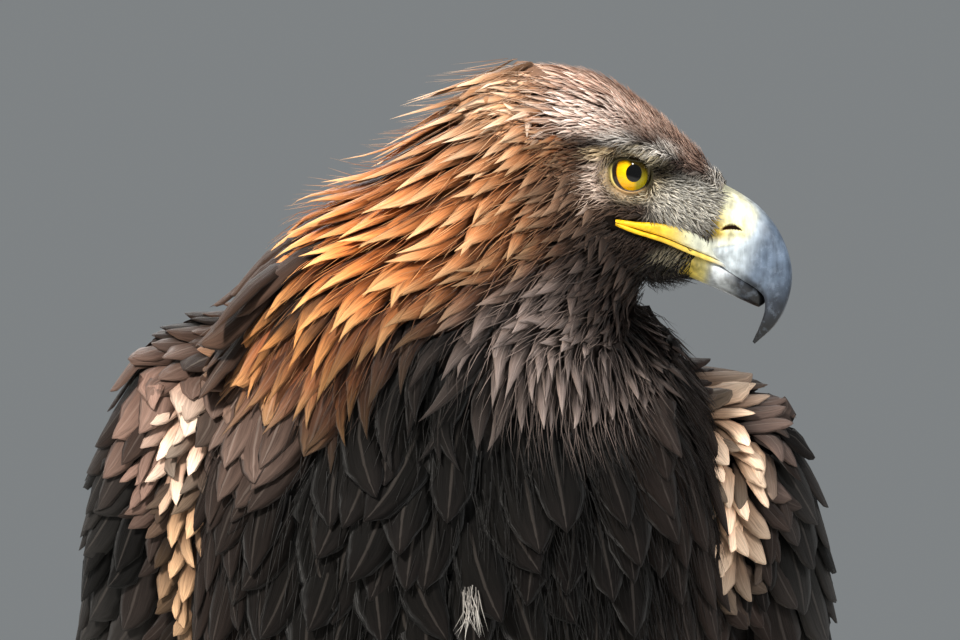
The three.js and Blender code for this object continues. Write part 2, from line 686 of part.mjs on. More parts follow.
// Down the feathered leg: height, x, y, half width, half depth
const THIGH = [
  [-378, 36, 12, 12, 16],
  [-352, 45, 17, 29, 35],
  [-325, 50, 16, 39, 48],
  [-285, 53, 15, 42, 54],
  [-240, 54, 20, 40, 51],
  [-195, 54, 30, 35, 44],
  [-155, 54, 40, 28, 34],
  [-122, 54, 45, 19, 23],
];
const SHANK = { top: 13.5, bottom: 12.5 };
const FOOT_TOP = 25;

function thigh(side, grow = 0) {
  const zs = [-352, -335, -305, -270, -235, -200, -160, -122];
  return loft(zs.map((z) => {
    const [, x, y, wide, deep] = between(THIGH, z);
    return oval(V(side * x, y, -z), V(wide + grow, 0, 0), V(0, deep + grow, 0), 14);
  }));
}

// Long feathers round the thigh: the length of each tier and how far its tips stand off, and how many go round
const TROUSER_START = -345;
const TROUSER_LENGTHS = [82, 84, 84, 82, 76];
const TROUSER_LIFT = 7;
const TROUSERS_ROUND = 8;

function trousers(side) {
  const surface = (down, angle, lift) => {
    const [, x, y, wide, deep] = between(THIGH, down);
    const [c, s] = [Math.cos(rad(angle)), Math.sin(rad(angle))];
    const out = V((side * c) / wide, s / deep, 0).normalize().multiplyScalar(lift);
    return V(side * (x + wide * c), y + deep * s, -down).add(out);
  };
  const tiers = following(TROUSER_START, TROUSER_LENGTHS, TROUSER_LIFT, TUFT);
  const rows = tiered(surface, { tiers, count: TROUSERS_ROUND, first: 0, whole: 360, shape: TUFT, seed: 500 });
  const round = rows[0].length;
  const ring = (down, inset) => Array.from({ length: round }, (_, j) => surface(down, (360 * j) / round, inset));
  return loft([ring(THIGH[0][0], SUNK), ...rows, ring(-122, SUNK)]);
}

// The feathered shank between the ankle and the toes
function shank(side, grow = 0) {
  const [top, bottom] = [V(side * ANKLE.x, ANKLE.y, 121.7), V(side * FOOT_ASIDE, FOOT_BACK + 3, FOOT_TOP)];
  const rings = Array.from({ length: 4 }, (_, i) => {
    const t = i / 3;
    const r = mix(SHANK.top, SHANK.bottom, t) + 1.5 * Math.sin(Math.PI * t) + grow;
    const end = i === 0 ? grow : i === 3 ? -grow : 0;
    return oval(top.clone().lerp(bottom, t).add(V(0, 0, end)), V(r * 0.9, 0, 0), V(0, r * 1.1, 0), 12);
  });
  return loft(rings);
}

// Toes: direction from straight ahead in degrees (outwards is positive), length to the claw, radius, and the
// radius that the claw bends to
const TOES = {
  inner: { turn: -32, length: 50, radius: 8.6, claw: 32 },
  middle: { turn: 2, length: 64, radius: 8.4, claw: 30 },
  outer: { turn: 36, length: 54, radius: 7.8, claw: 26 },
  hind: { turn: 176, length: 38, radius: 9, claw: 39 },
};
const TOE_FLAT = 0.8; // how much of each pad is pressed flat on the ground
const CLAW_RISE = rad(18); // the claw leaves the toe upwards by this
const CLAW_FALL = rad(-52); // and ends pointing down by this
const CLAW_CLEAR = 0.8; // between a claw's tip and the ground

const clawHeight = (claw) => CLAW_CLEAR + claw * (Math.cos(CLAW_RISE) - Math.cos(CLAW_FALL));
const toeWay = (side, turn) => V(side * Math.sin(rad(turn)), -Math.cos(rad(turn)), 0);
const footMiddle = (side) => V(side * FOOT_ASIDE, FOOT_BACK, 0);

// One toe: pads on the ground, and an end that rises to the claw
function toe(side, { turn, length, radius, claw }) {
  const way = toeWay(side, turn);
  const radiusAt = (t) => radius * (mix(1.08, 0.76, t) + 0.09 * Math.sin(t * Math.PI * 5.2 + 0.6));
  const path = (t) => {
    const resting = radiusAt(t) * 0.92 - TOE_FLAT;
    const rise = (clawHeight(claw) - resting - 1) * THREE.MathUtils.smoothstep(t, 0.68, 1);
    return footMiddle(side).addScaledVector(way, length * t).add(V(0, 0, resting + rise));
  };
  return tube(path, radiusAt, 6, 6, 0.92);
}

// A claw: a curved cone that leaves the toe upwards and comes down to just off the ground
function talon(side, { turn, length, radius, claw }, grow = 0) {
  const way = toeWay(side, turn);
  const start = footMiddle(side).addScaledVector(way, length - 2.5 - grow).setZ(clawHeight(claw));
  return tube((t) => {
    const a = mix(CLAW_RISE, CLAW_FALL, t);
    const ahead = claw * (Math.sin(CLAW_RISE) - Math.sin(a));
    return start.clone().addScaledVector(way, ahead).add(V(0, 0, claw * (Math.cos(a) - Math.cos(CLAW_RISE))));
  }, (t) => radius * 0.54 * (1 - t) ** 0.75 + 0.35 + grow, 5, 6);
}

// The foot: four toes and the pad under the shank, flat on the ground
function foot(side) {
  const pad = tube((t) => footMiddle(side).add(V(0, 3 * t, mix(3, FOOT_TOP - GAP, t))),
    (t) => mix(15, 12.5, t) + 1.5 * Math.sin(Math.PI * t), 2, 12);
  const ground = loft([-40, 0].map((z) => oval(V(side * FOOT_ASIDE, 0, z), V(150, 0, 0), V(0, 150, 0), 4)));
  const toes = Object.values(TOES).map((sizes) => toe(side, sizes));
  const claws = Object.values(TOES).map((sizes) => talon(side, sizes, GAP));
  return largest(join([pad, ...toes]).subtract(join([ground, shank(side, GAP), ...claws])));
}

// Assembly

const COLOURS = {
  body: { color: 0x3a2a20, roughness: 0.85 },
  hackle: { color: 0xb3763a, roughness: 0.75 },
  crown: { color: 0x8a6142, roughness: 0.8 },
  wing: { color: 0x4a372a, roughness: 0.7 },
  leg: { color: 0x6b4a30, roughness: 0.85 },
  horn: { color: 0x3c424a, roughness: 0.3 },
  toe: { color: 0xe0b020, roughness: 0.5 },
  eye: { color: 0xd89a08, roughness: 0.1 },
};

const bird = new THREE.Group();

// Adds a solid to the bird as a named mesh
function add(name, solid, look) {
  const { vertProperties, triVerts } = solid.getMesh();
  const geometry = new THREE.BufferGeometry();
  geometry.setAttribute("position", new THREE.BufferAttribute(new Float32Array(vertProperties), 3));
  geometry.setIndex(new THREE.BufferAttribute(new Uint32Array(triVerts), 1));
  geometry.computeVertexNormals();
  const mesh = new THREE.Mesh(geometry, new THREE.MeshStandardMaterial({ ...COLOURS[look], metalness: 0 }));
  mesh.name = name;
  bird.add(mesh);
}

const SIDES = { right: -1, left: 1 };
const torsoRoom = torsoSolid(GAP);

add("torso", largest(join([torsoSolid(), ...mantle()])), "body");

const neckRoom = loft([0, 1, 2, 3, 3.5, 4, 4.5].map((k) => ringPoints(ringOf(k), 16, HACKLE_LIFT + 2.5)));
add("neck", hackles(), "hackle");

const sides = Object.values(SIDES);
const head = join([
  headSolid().subtract(join([behindHead(), ...sides.map(orbit)])),
  ...sides.flatMap((side) => [brow(side), lids(side)]),
]);
const headHollows = join([...sides.map((side) => eyeball(side, GAP)), upperBill(GAP), lowerBill(GAP)]);
add("head", largest(head.subtract(headHollows)), "crown");
const nostrils = join(sides.map(nostrilPlug));
add("bill_upper", largest(upperBill().subtract(nostrils)), "horn");
add("bill_lower", largest(lowerBill().subtract(upperBillCore(GAP))), "horn");
add("tail", largest(tailSolid()), "wing");

for (const [name, side] of Object.entries(SIDES)) {
  add(`eye_${name}`, eyeball(side), "eye");
  const wingRoom = join([torsoRoom, neckRoom, thigh(side, GAP)]);
  add(`wing_${name}`, largest(wingSolid(side).subtract(wingRoom)), "wing");
  add(`thigh_${name}`, largest(trousers(side).subtract(join([torsoRoom, shank(side, GAP)]))), "leg");
  add(`shank_${name}`, shank(side), "leg");
  add(`foot_${name}`, foot(side), "toe");
  for (const [toeName, sizes] of Object.entries(TOES)) add(`talon_${toeName}_${name}`, talon(side, sizes), "horn");
}

// The origin is on the ground, under the middle of the bird's box
const box = new THREE.Box3().setFromObject(bird);
bird.position.set(-(box.min.x + box.max.x) / 2, -(box.min.y + box.max.y) / 2, -box.min.z);

export default bird;
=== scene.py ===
# %% [markdown]
# # A golden eagle, feather by feather
# The eagle stands at life size with its head turned to its left. The solid model gives the pose and the
# sizes. Here each solid gets its finish: one skin under the coat, and on it every feather as a small mesh
# of its own.

# %% Load the solid model
import math

import bmesh
import bpy
import numpy as np
from mathutils.kdtree import KDTree
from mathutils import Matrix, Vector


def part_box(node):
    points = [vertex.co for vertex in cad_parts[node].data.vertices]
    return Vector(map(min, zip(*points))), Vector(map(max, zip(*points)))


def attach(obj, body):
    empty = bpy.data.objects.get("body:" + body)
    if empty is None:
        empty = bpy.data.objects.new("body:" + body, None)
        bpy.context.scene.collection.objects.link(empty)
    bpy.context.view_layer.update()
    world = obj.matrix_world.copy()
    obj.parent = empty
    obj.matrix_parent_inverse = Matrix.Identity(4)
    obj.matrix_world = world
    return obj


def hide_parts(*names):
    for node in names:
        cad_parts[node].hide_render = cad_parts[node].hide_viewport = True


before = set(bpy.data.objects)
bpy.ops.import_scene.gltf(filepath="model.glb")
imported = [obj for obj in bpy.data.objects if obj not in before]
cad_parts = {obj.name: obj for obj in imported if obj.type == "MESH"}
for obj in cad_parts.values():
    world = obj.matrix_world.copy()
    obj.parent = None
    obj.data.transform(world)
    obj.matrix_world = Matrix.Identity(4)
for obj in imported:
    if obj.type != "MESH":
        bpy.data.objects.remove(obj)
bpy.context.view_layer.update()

# %% [markdown]
# ## The bird's own sizes
# Lengths are millimetres, as in the solid model: +Z is up, the bird faces -Y and its left side is +X. The
# tables below are the solid model's tables, so that each feather grows where the solid says. Blender
# works in metres.

# %% Sizes of the body
MM = 0.001
BODY_TILT = math.radians(57)
SHOULDER = np.array([0.0, -20.0, 545.0])
BODY_LENGTH = 315  # shoulders to tail root
TAIL_LENGTH = 300
WING_LENGTH = 590  # shoulder line to the longest primary's tip
RIGHT_RISE = 13  # the right shoulder is held this much higher
DOWN_BACK = np.array([0.0, math.cos(BODY_TILT), -math.sin(BODY_TILT)])
OUT_BACK = np.array([0.0, math.sin(BODY_TILT), math.cos(BODY_TILT)])
# Down the body's axis: q, how far the back and the breast stand out, and the half width
TORSO = [
    [-25, 44, -88, 79], [0, 48, -113, 91], [45, 42, -131, 96], [95, 36, -136, 97], [145, 28, -130, 93],
    [195, 20, -112, 82], [240, 12, -86, 66], [280, 5, -58, 48], [BODY_LENGTH, -2, -34, 30],
]
# From the skull to the shoulders: step, a point at the nape, one at the throat, half width, and lag of the
# feathers in degrees
NECK = [
    [0, 6, -45, 650, 62, -45, 573, 37, -62],
    [1, -20, -36, 624, 54, -72, 562, 43, -52],
    [2, -27, -9, 608, 30, -104, 547, 65, -24],
]
NECK_STEPS = 3
STEP_LENGTH = 30  # below the neck, one step down the body's axis

# %% Sizes of the head
EYE = np.array([62.0, -45.0, 621.0])
EYE_PLACE = np.array([-4.0, 20.0])  # middle of the eyeball: x, and how far aside
EYE_RADIUS = 11
HEAD_YAW = math.radians(3)
# Along the head from the eye: x, top, bottom, half width
HEAD = [
    [-60, 24, 2, 13], [-54, 33, -14, 25], [-42, 37.5, -26, 33], [-25, 38, -35, 36.5],
    [-8, 33.5, -39.5, 35.5], [6, 24, -38.5, 31], [16, 15.5, -36, 24.5], [26, 6.5, -32.5, 17.5],
    [33, 0, -27, 12.8], [36, -4, -24, 11],
]
# The ridge over the eye: x, how far aside, z and radius
BROW = [
    [-13, 31, 9.3, 2.2], [-2, 31.2, 10.3, 3.6], [7, 27.8, 8.7, 3.8], [16, 21.4, 3.9, 3.2],
    [23, 16.2, -0.2, 1.8],
]

# %% Sizes of the wings and legs
# Down the body's axis: q, height of the wing's middle, half width, half depth, angles of its front and back
WING = [
    [-24, -11, 97, 36, -30, 66], [-12, -10, 112, 47, -46, 72], [4, -10, 121, 56, -50, 78],
    [40, -18, 133, 68, -51, 80], [90, -26, 138, 73, -50, 82], [130, -28, 138, 71, -47, 83],
    [180, -30, 131, 68, -42, 84], [240, -26, 115, 58, -34, 85], [300, -20, 95, 46, -24, 86],
    [360, -12, 75, 36, -10, 86], [430, -4, 57, 26, 6, 86], [500, 2, 44, 19, 18, 86],
    [560, 5, 33, 14, 26, 85], [600, 6, 26, 11, 32, 84],
]
# Down the feathered leg: minus the height, x, y, half width, half depth
THIGH = [
    [-378, 36, 12, 12, 16], [-352, 45, 17, 29, 35], [-325, 50, 16, 39, 48], [-285, 53, 15, 42, 54],
    [-240, 54, 20, 40, 51], [-195, 54, 30, 35, 44], [-155, 54, 40, 28, 34], [-122, 54, 45, 19, 23],
]
ANKLE = np.array([54.0, 46.0, 121.7])
FOOT = np.array([54.0, 20.0, 0.0])
FOOT_TOP = 25
SIDES = {"right": -1, "left": 1}

# %% [markdown]
# ## Reading the tables
# A table row fixes a few sizes, and a smooth curve runs through the rows. All of this works on whole
# arrays at once, because thousands of feathers ask for their place. Past the last row the curve goes
# straight on, so that a feather may hang over the end of what it grows from.


# %% Curves through the rows of a table
def mix(a, b, t):
    return a + (b - a) * t


def ease(value, low, high):
    """0 below low, 1 above high and a smooth step between."""
    t = np.clip((value - low) / (high - low), 0, 1)
    return t * t * (3 - 2 * t)


def between(rows, at):
    """The values of a table's columns at each entry of at, along its first column."""
    rows = np.array(rows, float)
    at = np.asarray(at, float)
    last = len(rows) - 1
    i = np.clip(np.searchsorted(rows[:, 0], at, side="right") - 1, 0, last - 1)
    a, b = rows[i], rows[i + 1]
    before, after = rows[np.maximum(i - 1, 0)], rows[np.minimum(i + 2, last)]
    span = b[..., :1] - a[..., :1]
    slope_a = (b - before) / (b[..., :1] - before[..., :1]) * span
    slope_b = (after - a) / (after[..., :1] - a[..., :1]) * span
    free = (at[..., None] - a[..., :1]) / span
    t = np.clip(free, 0, 1)
    curve = (2 * t**3 - 3 * t**2 + 1) * a + (t**3 - 2 * t**2 + t) * slope_a
    curve = curve + (3 * t**2 - 2 * t**3) * b + (t**3 - t**2) * slope_b
    return curve + np.where(free < 0, free * slope_a, 0) + np.where(free > 1, (free - 1) * slope_b, 0)


def columns(rows, at):
    return np.moveaxis(between(rows, at)[..., 1:], -1, 0)


# %% Vectors in rows
def vec(x, y, z):
    return np.stack(np.broadcast_arrays(x, y, z), -1).astype(float)


def dot(a, b):
    return (a * b).sum(-1, keepdims=True)


def unit(v):
    return v / np.maximum(np.sqrt(dot(v, v)), 1e-9)


def cos_sin(degrees):
    return np.cos(np.radians(degrees)), np.sin(np.radians(degrees))


# %% Where the solid model stands
def yawed(points, angle):
    """Turned about the upright axis by an angle in radians."""
    c, s = math.cos(angle), math.sin(angle)
    x, y, z = np.moveaxis(points, -1, 0)
    return vec(x * c - y * s, x * s + y * c, z)


def in_head(points):
    """From the head's own frame, with x towards the bill, to the bird's."""
    return yawed(points, -HEAD_YAW) + EYE


def from_head(points):
    return yawed(points - EYE, HEAD_YAW)


eye_boxes = [np.array(corner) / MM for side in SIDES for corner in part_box(f"eye_{side}")]
SHIFT = np.mean(eye_boxes, axis=0) - in_head(np.array([EYE_PLACE[0], 0.0, 0.0]))
print("the solid model is moved by", np.round(SHIFT, 2), "mm")

# %% [markdown]
# ## The surfaces that carry feathers
# Each surface turns two numbers into a point: u runs the way that the feathers lie and v runs across
# them. The direction along and across and the way out come from small steps in u and v, so one class
# serves them all.


# %% A surface with its directions
class Surface:
    def __init__(self, point, core, nudge):
        self.point = point
        self.core = core
        self.nudge = nudge

    def axes(self, u, v):
        """Point, change of the point with u and with v, and the direction out."""
        eu, ev = self.nudge
        here = self.point(u, v)
        by_u = (self.point(u + eu, v) - self.point(u - eu, v)) / (2 * eu)
        by_v = (self.point(u, v + ev) - self.point(u, v - ev)) / (2 * ev)
        out = unit(np.cross(by_u, by_v))
        out = out * np.sign(dot(out, here - self.core(u)) + 1e-9)
        return here, by_u, by_v, out


# %% Neck and body
def along(q, x, m):
    """A point q down the body's axis, x aside and m out from the back."""
    q, x, m = (np.asarray(value, float)[..., None] for value in np.broadcast_arrays(q, x, m))
    return SHOULDER + DOWN_BACK * q + OUT_BACK * m + np.array([1.0, 0, 0]) * x


def torso_ring(q):
    back, breast, half = columns(TORSO, q)
    return along(q, 0, (back + breast) / 2), vec(half, 0, 0), OUT_BACK * ((back - breast) / 2)[..., None]


first_centre, first_side, first_up = torso_ring(np.array(TORSO[0][0]))
NECK_ROWS = NECK + [[NECK_STEPS, *(first_centre + first_up), *(first_centre - first_up), first_side[0], 0]]


def body_ring(k):
    """Middle, half width, half height and lag of a cross-section, k steps down from the skull."""
    row = between(NECK_ROWS, np.minimum(k, NECK_STEPS))
    nape, throat = row[..., 1:4], row[..., 4:7]
    up = (nape - throat) / 2
    side = unit(vec(up[..., 1], -up[..., 0], 0)) * row[..., 7:8]
    torso = torso_ring(TORSO[0][0] + (np.maximum(k, NECK_STEPS) - NECK_STEPS) * STEP_LENGTH)
    on_neck = (np.asarray(k) < NECK_STEPS)[..., None]
    neck = ((nape + throat) / 2, side, up)
    ring = [np.where(on_neck, a, b) for a, b in zip(neck, torso)]
    return *ring, np.where(on_neck[..., 0], row[..., 8], 0)


def body_point(k, angle):
    """angle runs from the breast (0) by the right side to the back (180)."""
    centre, side, up, lag = body_ring(k)
    turned = np.radians(angle - lag * mix(0.15, 1, (1 + np.cos(np.radians(angle - 35))) / 2))
    return centre - side * np.sin(turned)[..., None] - up * np.cos(turned)[..., None]


body = Surface(body_point, lambda k: body_ring(k)[0], (0.02, 0.5))


# %% Head
def soft_min(a, b, soft):
    t = np.clip(0.5 + 0.5 * (b - a) / soft, 0, 1)
    return mix(b, a, t) - soft * t * (1 - t)


def face_relief(x, y, z):
    """Takes the side of the head in round the eye, and out along the brow."""
    hollow = 43 - 20 * np.sqrt(np.clip(1 - ((x - 8) / 20) ** 2 - ((z + 2) / 15) ** 2, 0, 1))
    aside = soft_min(np.abs(y), hollow, 5)
    ridge_y, ridge_z, radius = columns(BROW, np.clip(x, BROW[0][0], BROW[-1][0]))
    off = np.abs(z - ridge_z)
    ridge = ridge_y + radius * np.sqrt(np.clip(1 - (off / radius) ** 2, 0, 1))
    past = np.maximum(BROW[0][0] - x, 0) + np.maximum(x - BROW[-1][0], 0)
    ridge = ridge - 3 * np.maximum(off - radius, 0) - past
    return np.sign(y) * -soft_min(-aside, -ridge, 3)


def head_point(back, angle):
    """back is minus the distance ahead of the eye, angle runs from the crown (0) by the left cheek."""
    x = -back
    top, bottom, half = columns(HEAD, x)
    c, s = cos_sin(angle)
    y = half * np.sign(s) * np.abs(s) ** 0.9
    z = (top + bottom) / 2 + (top - bottom) / 2 * np.sign(c) * np.abs(c) ** 0.9
    return in_head(vec(x, face_relief(x, y, z), z))


def head_core(back):
    top, bottom, _ = columns(HEAD, -back)
    return in_head(vec(-back, 0, (top + bottom) / 2))


head = Surface(head_point, head_core, (0.3, 0.7))


# %% Wings, thighs and shanks
NEAREST_X = 2  # each wing stays on its own side of the back
# Above the wing its surface closes over the shoulder: where that begins, and over what height
DOME = {-1: (-2, 13), 1: (11, 18)}


def wing_surface(side):
    def rise(q):
        return RIGHT_RISE * (1 - ease(q, 60, 300)) if side < 0 else 0 * q

    def point(q, across, keep=1.0):
        middle, wide, deep, front, back = columns(WING, q)
        angle = np.radians(mix(front, back, across))
        dome_from, dome_high = DOME[side]
        up = np.clip((dome_from - q) / dome_high, 0, 0.995)
        keep = keep * np.sqrt(1 - up**2)
        place = along(q - rise(q), side * wide * np.cos(angle) * keep, middle + deep * np.sin(angle) * keep)
        place[..., 0] = side * np.maximum(side * place[..., 0], NEAREST_X)
        return place

    return Surface(point, lambda q: along(q - rise(q), side * 8, columns(WING, q)[0] - 20), (1, 0.01))


def thigh_surface(side):
    def point(down, angle):
        x, y, wide, deep = columns(THIGH, down)
        c, s = cos_sin(angle)
        return vec(side * (x + wide * c), y + deep * s, -down)

    def core(down):
        x, y, *_ = columns(THIGH, down)
        return vec(side * x, y, -down)

    return Surface(point, core, (1, 1))


def shank_surface(side):
    def core(t):
        t = np.asarray(t, float)[..., None]
        return mix(ANKLE, np.array([FOOT[0], FOOT[1] + 3, FOOT_TOP]), t) * np.array([side, 1, 1])

    def point(t, angle):
        radius = mix(13.5, 12.5, t) + 1.5 * np.sin(np.pi * np.clip(t, 0, 1))
        c, s = cos_sin(angle)
        return core(t) + vec(side * 0.9 * radius * c, 1.1 * radius * s, 0)

    return Surface(point, core, (0.01, 1))


wings = {name: wing_surface(side) for name, side in SIDES.items()}
thighs = {name: thigh_surface(side) for name, side in SIDES.items()}
shanks = {name: shank_surface(side) for name, side in SIDES.items()}

# %% [markdown]
# ## Making a mesh from arrays
# A feather coat has over a hundred thousand corners. Filling Blender's mesh from arrays is far quicker
# than adding faces one by one, and it lets us give each corner its colour and its place on a feather.


# %% Mesh from arrays
def make_piece(name, points, faces, maps=None, marks=None, smooth=True):
    """A mesh object from points in millimetres, faces grouped by their corners, UV maps and attributes."""
    mesh = bpy.data.meshes.new(name)
    place = (np.asarray(points, float).reshape(-1, 3) + SHIFT) * MM
    mesh.vertices.add(len(place))
    mesh.vertices.foreach_set("co", place.ravel())
    loops = np.concatenate([np.asarray(f, np.int32).ravel() for f in faces])
    sizes = np.concatenate([np.full(len(f), np.shape(f)[1]) for f in faces])
    mesh.loops.add(len(loops))
    mesh.loops.foreach_set("vertex_index", loops)
    mesh.polygons.add(len(sizes))
    mesh.polygons.foreach_set("loop_start", np.concatenate([[0], np.cumsum(sizes)[:-1]]))
    mesh.update(calc_edges=True)
    mesh.polygons.foreach_set("use_smooth", np.full(len(sizes), smooth))
    for map_name, values in (maps or {}).items():
        layer = mesh.uv_layers.new(name=map_name)
        layer.data.foreach_set("uv", np.asarray(values, float).reshape(-1, 2)[loops].ravel())
    for mark, values in (marks or {}).items():
        values = np.asarray(values, float).reshape(len(place), -1)
        kind = "FLOAT_COLOR" if values.shape[1] == 4 else "FLOAT_VECTOR"
        layer = mesh.attributes.new(mark, kind, "POINT")
        layer.data.foreach_set("color" if kind == "FLOAT_COLOR" else "vector", values.ravel())
    made = bpy.data.objects.new(name, mesh)
    bpy.context.scene.collection.objects.link(made)
    return made


def grid_faces(rows, cols, wrap=True):
    """Squares of a grid of points, closed round each row if wrap is set."""
    i, j = np.meshgrid(np.arange(rows - 1), np.arange(cols if wrap else cols - 1), indexing="ij")
    a, b = i * cols + j, i * cols + (j + 1) % cols
    return np.stack([a, b, b + cols, a + cols], -1).reshape(-1, 4)


def closed_faces(rows, cols):
    """A tube's squares, and one face over each end."""
    ring = np.arange(cols)
    return [grid_faces(rows, cols), [ring[::-1]], [ring + (rows - 1) * cols]]


def coat_of(colour):
    """The coat attribute: one solid colour for each corner."""
    return {"coat": np.concatenate([colour, np.ones((*colour.shape[:-1], 1))], -1)}


def triangles(piece):
    return sum(len(face.vertices) - 2 for face in piece.data.polygons)


def settle(piece, material, slot, *nodes):
    """Gives a finished piece its material, its body and the solids that it stands for; the slot is not used.
    """
    piece.data.materials.clear()
    piece.data.materials.append(material)
    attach(piece, "root")
    if nodes:
        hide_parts(*nodes)
    print(piece.name, triangles(piece), "triangles")
    return piece


# %% [markdown]
# ## Colours
# The markings are soft patches in space: each has a middle, a size and three colours, one for the
# feather, one for its tip, and how strongly its shaft shows pale. A few patches are painted shade, wholly
# or in part. Skin and feathers ask the same function, so that a gap in the coat never shows a wrong
# colour. The wing's feathers add patches of their own. Colours are given as seen on a screen and turned
# into Blender's linear ones.


# %% Named patches of colour
def tint(red, green, blue):
    """A linear colour from screen values of 0 to 255."""
    value = np.array([red, green, blue]) / 255
    return np.where(value <= 0.04045, value / 12.92, ((value + 0.055) / 1.055) ** 2.4)


DARK_BROWN = tint(31, 24, 21)
# Middle (x, y, z), half size along each, feather, tip, shaft from 0 to 1
BODY_PATCHES = {
    "back": ([0, 120, 480], [120, 90, 150], tint(62, 46, 38), tint(84, 64, 52), 0.1),
    # The breast is dark brown, and darkened further as painted shade
    "breast": ([0, -120, 470], [110, 80, 90], tint(9, 8, 7), tint(17, 14, 13), 0.2),
    "thighs": ([0, 20, 250], [110, 90, 110], tint(96, 68, 48), tint(128, 94, 66), 0.1),
    "shanks": ([0, 40, 62], [110, 80, 74], tint(150, 112, 74), tint(190, 150, 104), 0.1),
    "under_tail": ([0, 130, 300], [60, 60, 90], tint(110, 84, 62), tint(150, 122, 96), 0.1),
    "right_shoulder": ([-80, -75, 548], [34, 60, 38], tint(78, 62, 55), tint(98, 81, 73), 0.7),
    "nape": ([-26, -50, 612], [66, 76, 62], tint(186, 112, 62), tint(242, 192, 142), 0.15),
    "side_of_neck": ([-36, -60, 570], [46, 50, 50], tint(198, 106, 44), tint(246, 184, 114), 0.15),
    "far_side": ([30, 10, 612], [60, 60, 50], tint(190, 116, 62), tint(242, 200, 146), 0.15),
    # Painted shade between the low hackles: their colour is darkened, their tips stay golden
    "low_hackles_painted_shade": ([-60, -60, 566], [26, 70, 18], tint(60, 36, 22), tint(204, 138, 80), 0.1),
    "behind_nape": ([-88, -40, 576], [20, 90, 17], tint(44, 32, 26), tint(66, 49, 40), 0.1),
    "throat": ([42, -106, 556], [44, 52, 34], tint(104, 90, 84), tint(136, 122, 116), 0.9),
    "under_chin": ([62, -60, 574], [36, 50, 18], tint(46, 36, 32), tint(64, 52, 46), 0.3),
}
WING_PATCHES = {
    "right_top": ([-108, -60, 528], [22, 70, 34], tint(98, 76, 67), tint(128, 103, 92), 0.3),
    "left_top": ([108, -50, 528], [18, 70, 34], tint(56, 46, 42), tint(84, 70, 64), 0.3),
    "left_outer": ([131, -50, 470], [13, 90, 60], tint(19, 18, 17), tint(34, 32, 31), 0.2),
    "right_outer": ([-130, -50, 470], [13, 90, 60], tint(19, 18, 17), tint(34, 32, 31), 0.2),
    "right_edge_low": ([-99, -80, 486], [9, 60, 44], tint(92, 68, 50), tint(200, 162, 126), 0.0),
    "right_edge_high": ([-100, -80, 522], [11, 60, 22], tint(176, 142, 122), tint(240, 216, 196), 0.0),
    "left_edge": ([99, -60, 516], [14, 70, 46], tint(176, 140, 112), tint(240, 210, 182), 0.0),
}
HEAD_PATCHES = {
    "crown": ([-9, 0, 31], [50, 44, 24], tint(202, 160, 138), tint(242, 218, 203), 0.1),
    "hind_crown": ([-52, 0, 22], [26, 44, 34], tint(194, 142, 102), tint(246, 214, 182), 0.1),
    "midline": ([6, 0, 30], [36, 15, 18], tint(112, 84, 71), tint(164, 132, 115), 0.1),
    "temple": ([-15, -34, 22], [19, 26, 9], tint(216, 186, 170), tint(246, 232, 222), 0.0),
    "far_temple": ([-15, 34, 22], [19, 26, 9], tint(216, 186, 170), tint(246, 232, 222), 0.0),
    "forehead": ([24, 0, 10], [16, 26, 14], tint(134, 104, 90), tint(184, 156, 140), 0.1),
    "cheek": ([-24, 0, -10], [30, 50, 18], tint(96, 73, 58), tint(140, 112, 92), 0.0),
    "behind_eye": ([-10, 0, -3], [8, 50, 12], tint(206, 180, 162), tint(244, 226, 212), 0.0),
    # The low cheek and the jaw are dark brown, partly painted shade under the head
    "ear": ([-8, 0, -25], [34, 50, 12], tint(52, 41, 35), tint(70, 56, 48), 0.0),
    "jaw": ([6, 0, -38], [30, 40, 9], tint(46, 37, 32), tint(74, 60, 52), 0.0),
    "lores": ([20, 0, -12], [18, 40, 12], tint(232, 224, 208), tint(252, 247, 238), 0.0),
    "below_mouth": ([17, 0, -31.5], [12, 40, 5.5], tint(192, 180, 150), tint(230, 220, 194), 0.0),
    "eye_rim": ([2.2, 0, -0.5], [13.5, 50, 12.5], tint(212, 196, 160), tint(246, 236, 212), 0.0),
    "under_eye": ([3, 0, -13.5], [8, 50, 3.5], tint(72, 56, 46), tint(98, 78, 64), 0.0),
    # Painted shade in the hollow before the eye
    "painted_shade_before_eye": ([12.5, 0, 0.5], [5, 50, 4], tint(52, 44, 32), tint(70, 62, 44), 0.0),
    "above_eye": ([-9, 0, 6.6], [9, 50, 3.6], tint(196, 168, 126), tint(238, 216, 180), 0.0),
    "brow_behind": ([-4, 0, 12.5], [11, 40, 4.6], tint(238, 230, 220), tint(255, 252, 248), 0.0),
    "brow_before": ([10, 0, 8], [10, 40, 4.2], tint(232, 222, 210), tint(255, 250, 244), 0.0),
    "frontal": ([34, 0, -1], [7, 20, 6], tint(186, 176, 164), tint(232, 228, 222), 0.0),
}


# %% One function for the markings and the painted shade
def weigh(points, middle, size):
    far = (points - np.array(middle, float)) / np.array(size, float)
    return 1 - ease(np.sqrt((far**2).sum(-1)), 0.55, 1.25)


def paint(points, patches, state):
    """Mixes a set of patches into the colours gathered so far."""
    for middle, size, feather, tip, shaft in patches.values():
        share = weigh(points, middle, size)[..., None]
        state = [mix(old, new, share) for old, new in zip(state, (feather, tip, shaft))]
    return state


def markings_and_shade(points, on_wing=False):
    """Feather colour, tip colour and shaft strength at points of the bird, in millimetres, painted shade
    included.
    """
    ones = np.ones(points.shape[:-1] + (1,))
    state = [DARK_BROWN * ones, DARK_BROWN * 1.25 * ones, 0.2 * ones]
    state = paint(points, BODY_PATCHES, state)
    if on_wing:
        return paint(points, WING_PATCHES, state)
    own = from_head(points)
    inside = (weigh(own, [-8, 0, 2], [58, 50, 48]) > 0.0)[..., None]
    painted = paint(own, HEAD_PATCHES, state)
    return [np.where(inside, new, old) for old, new in zip(state, painted)]
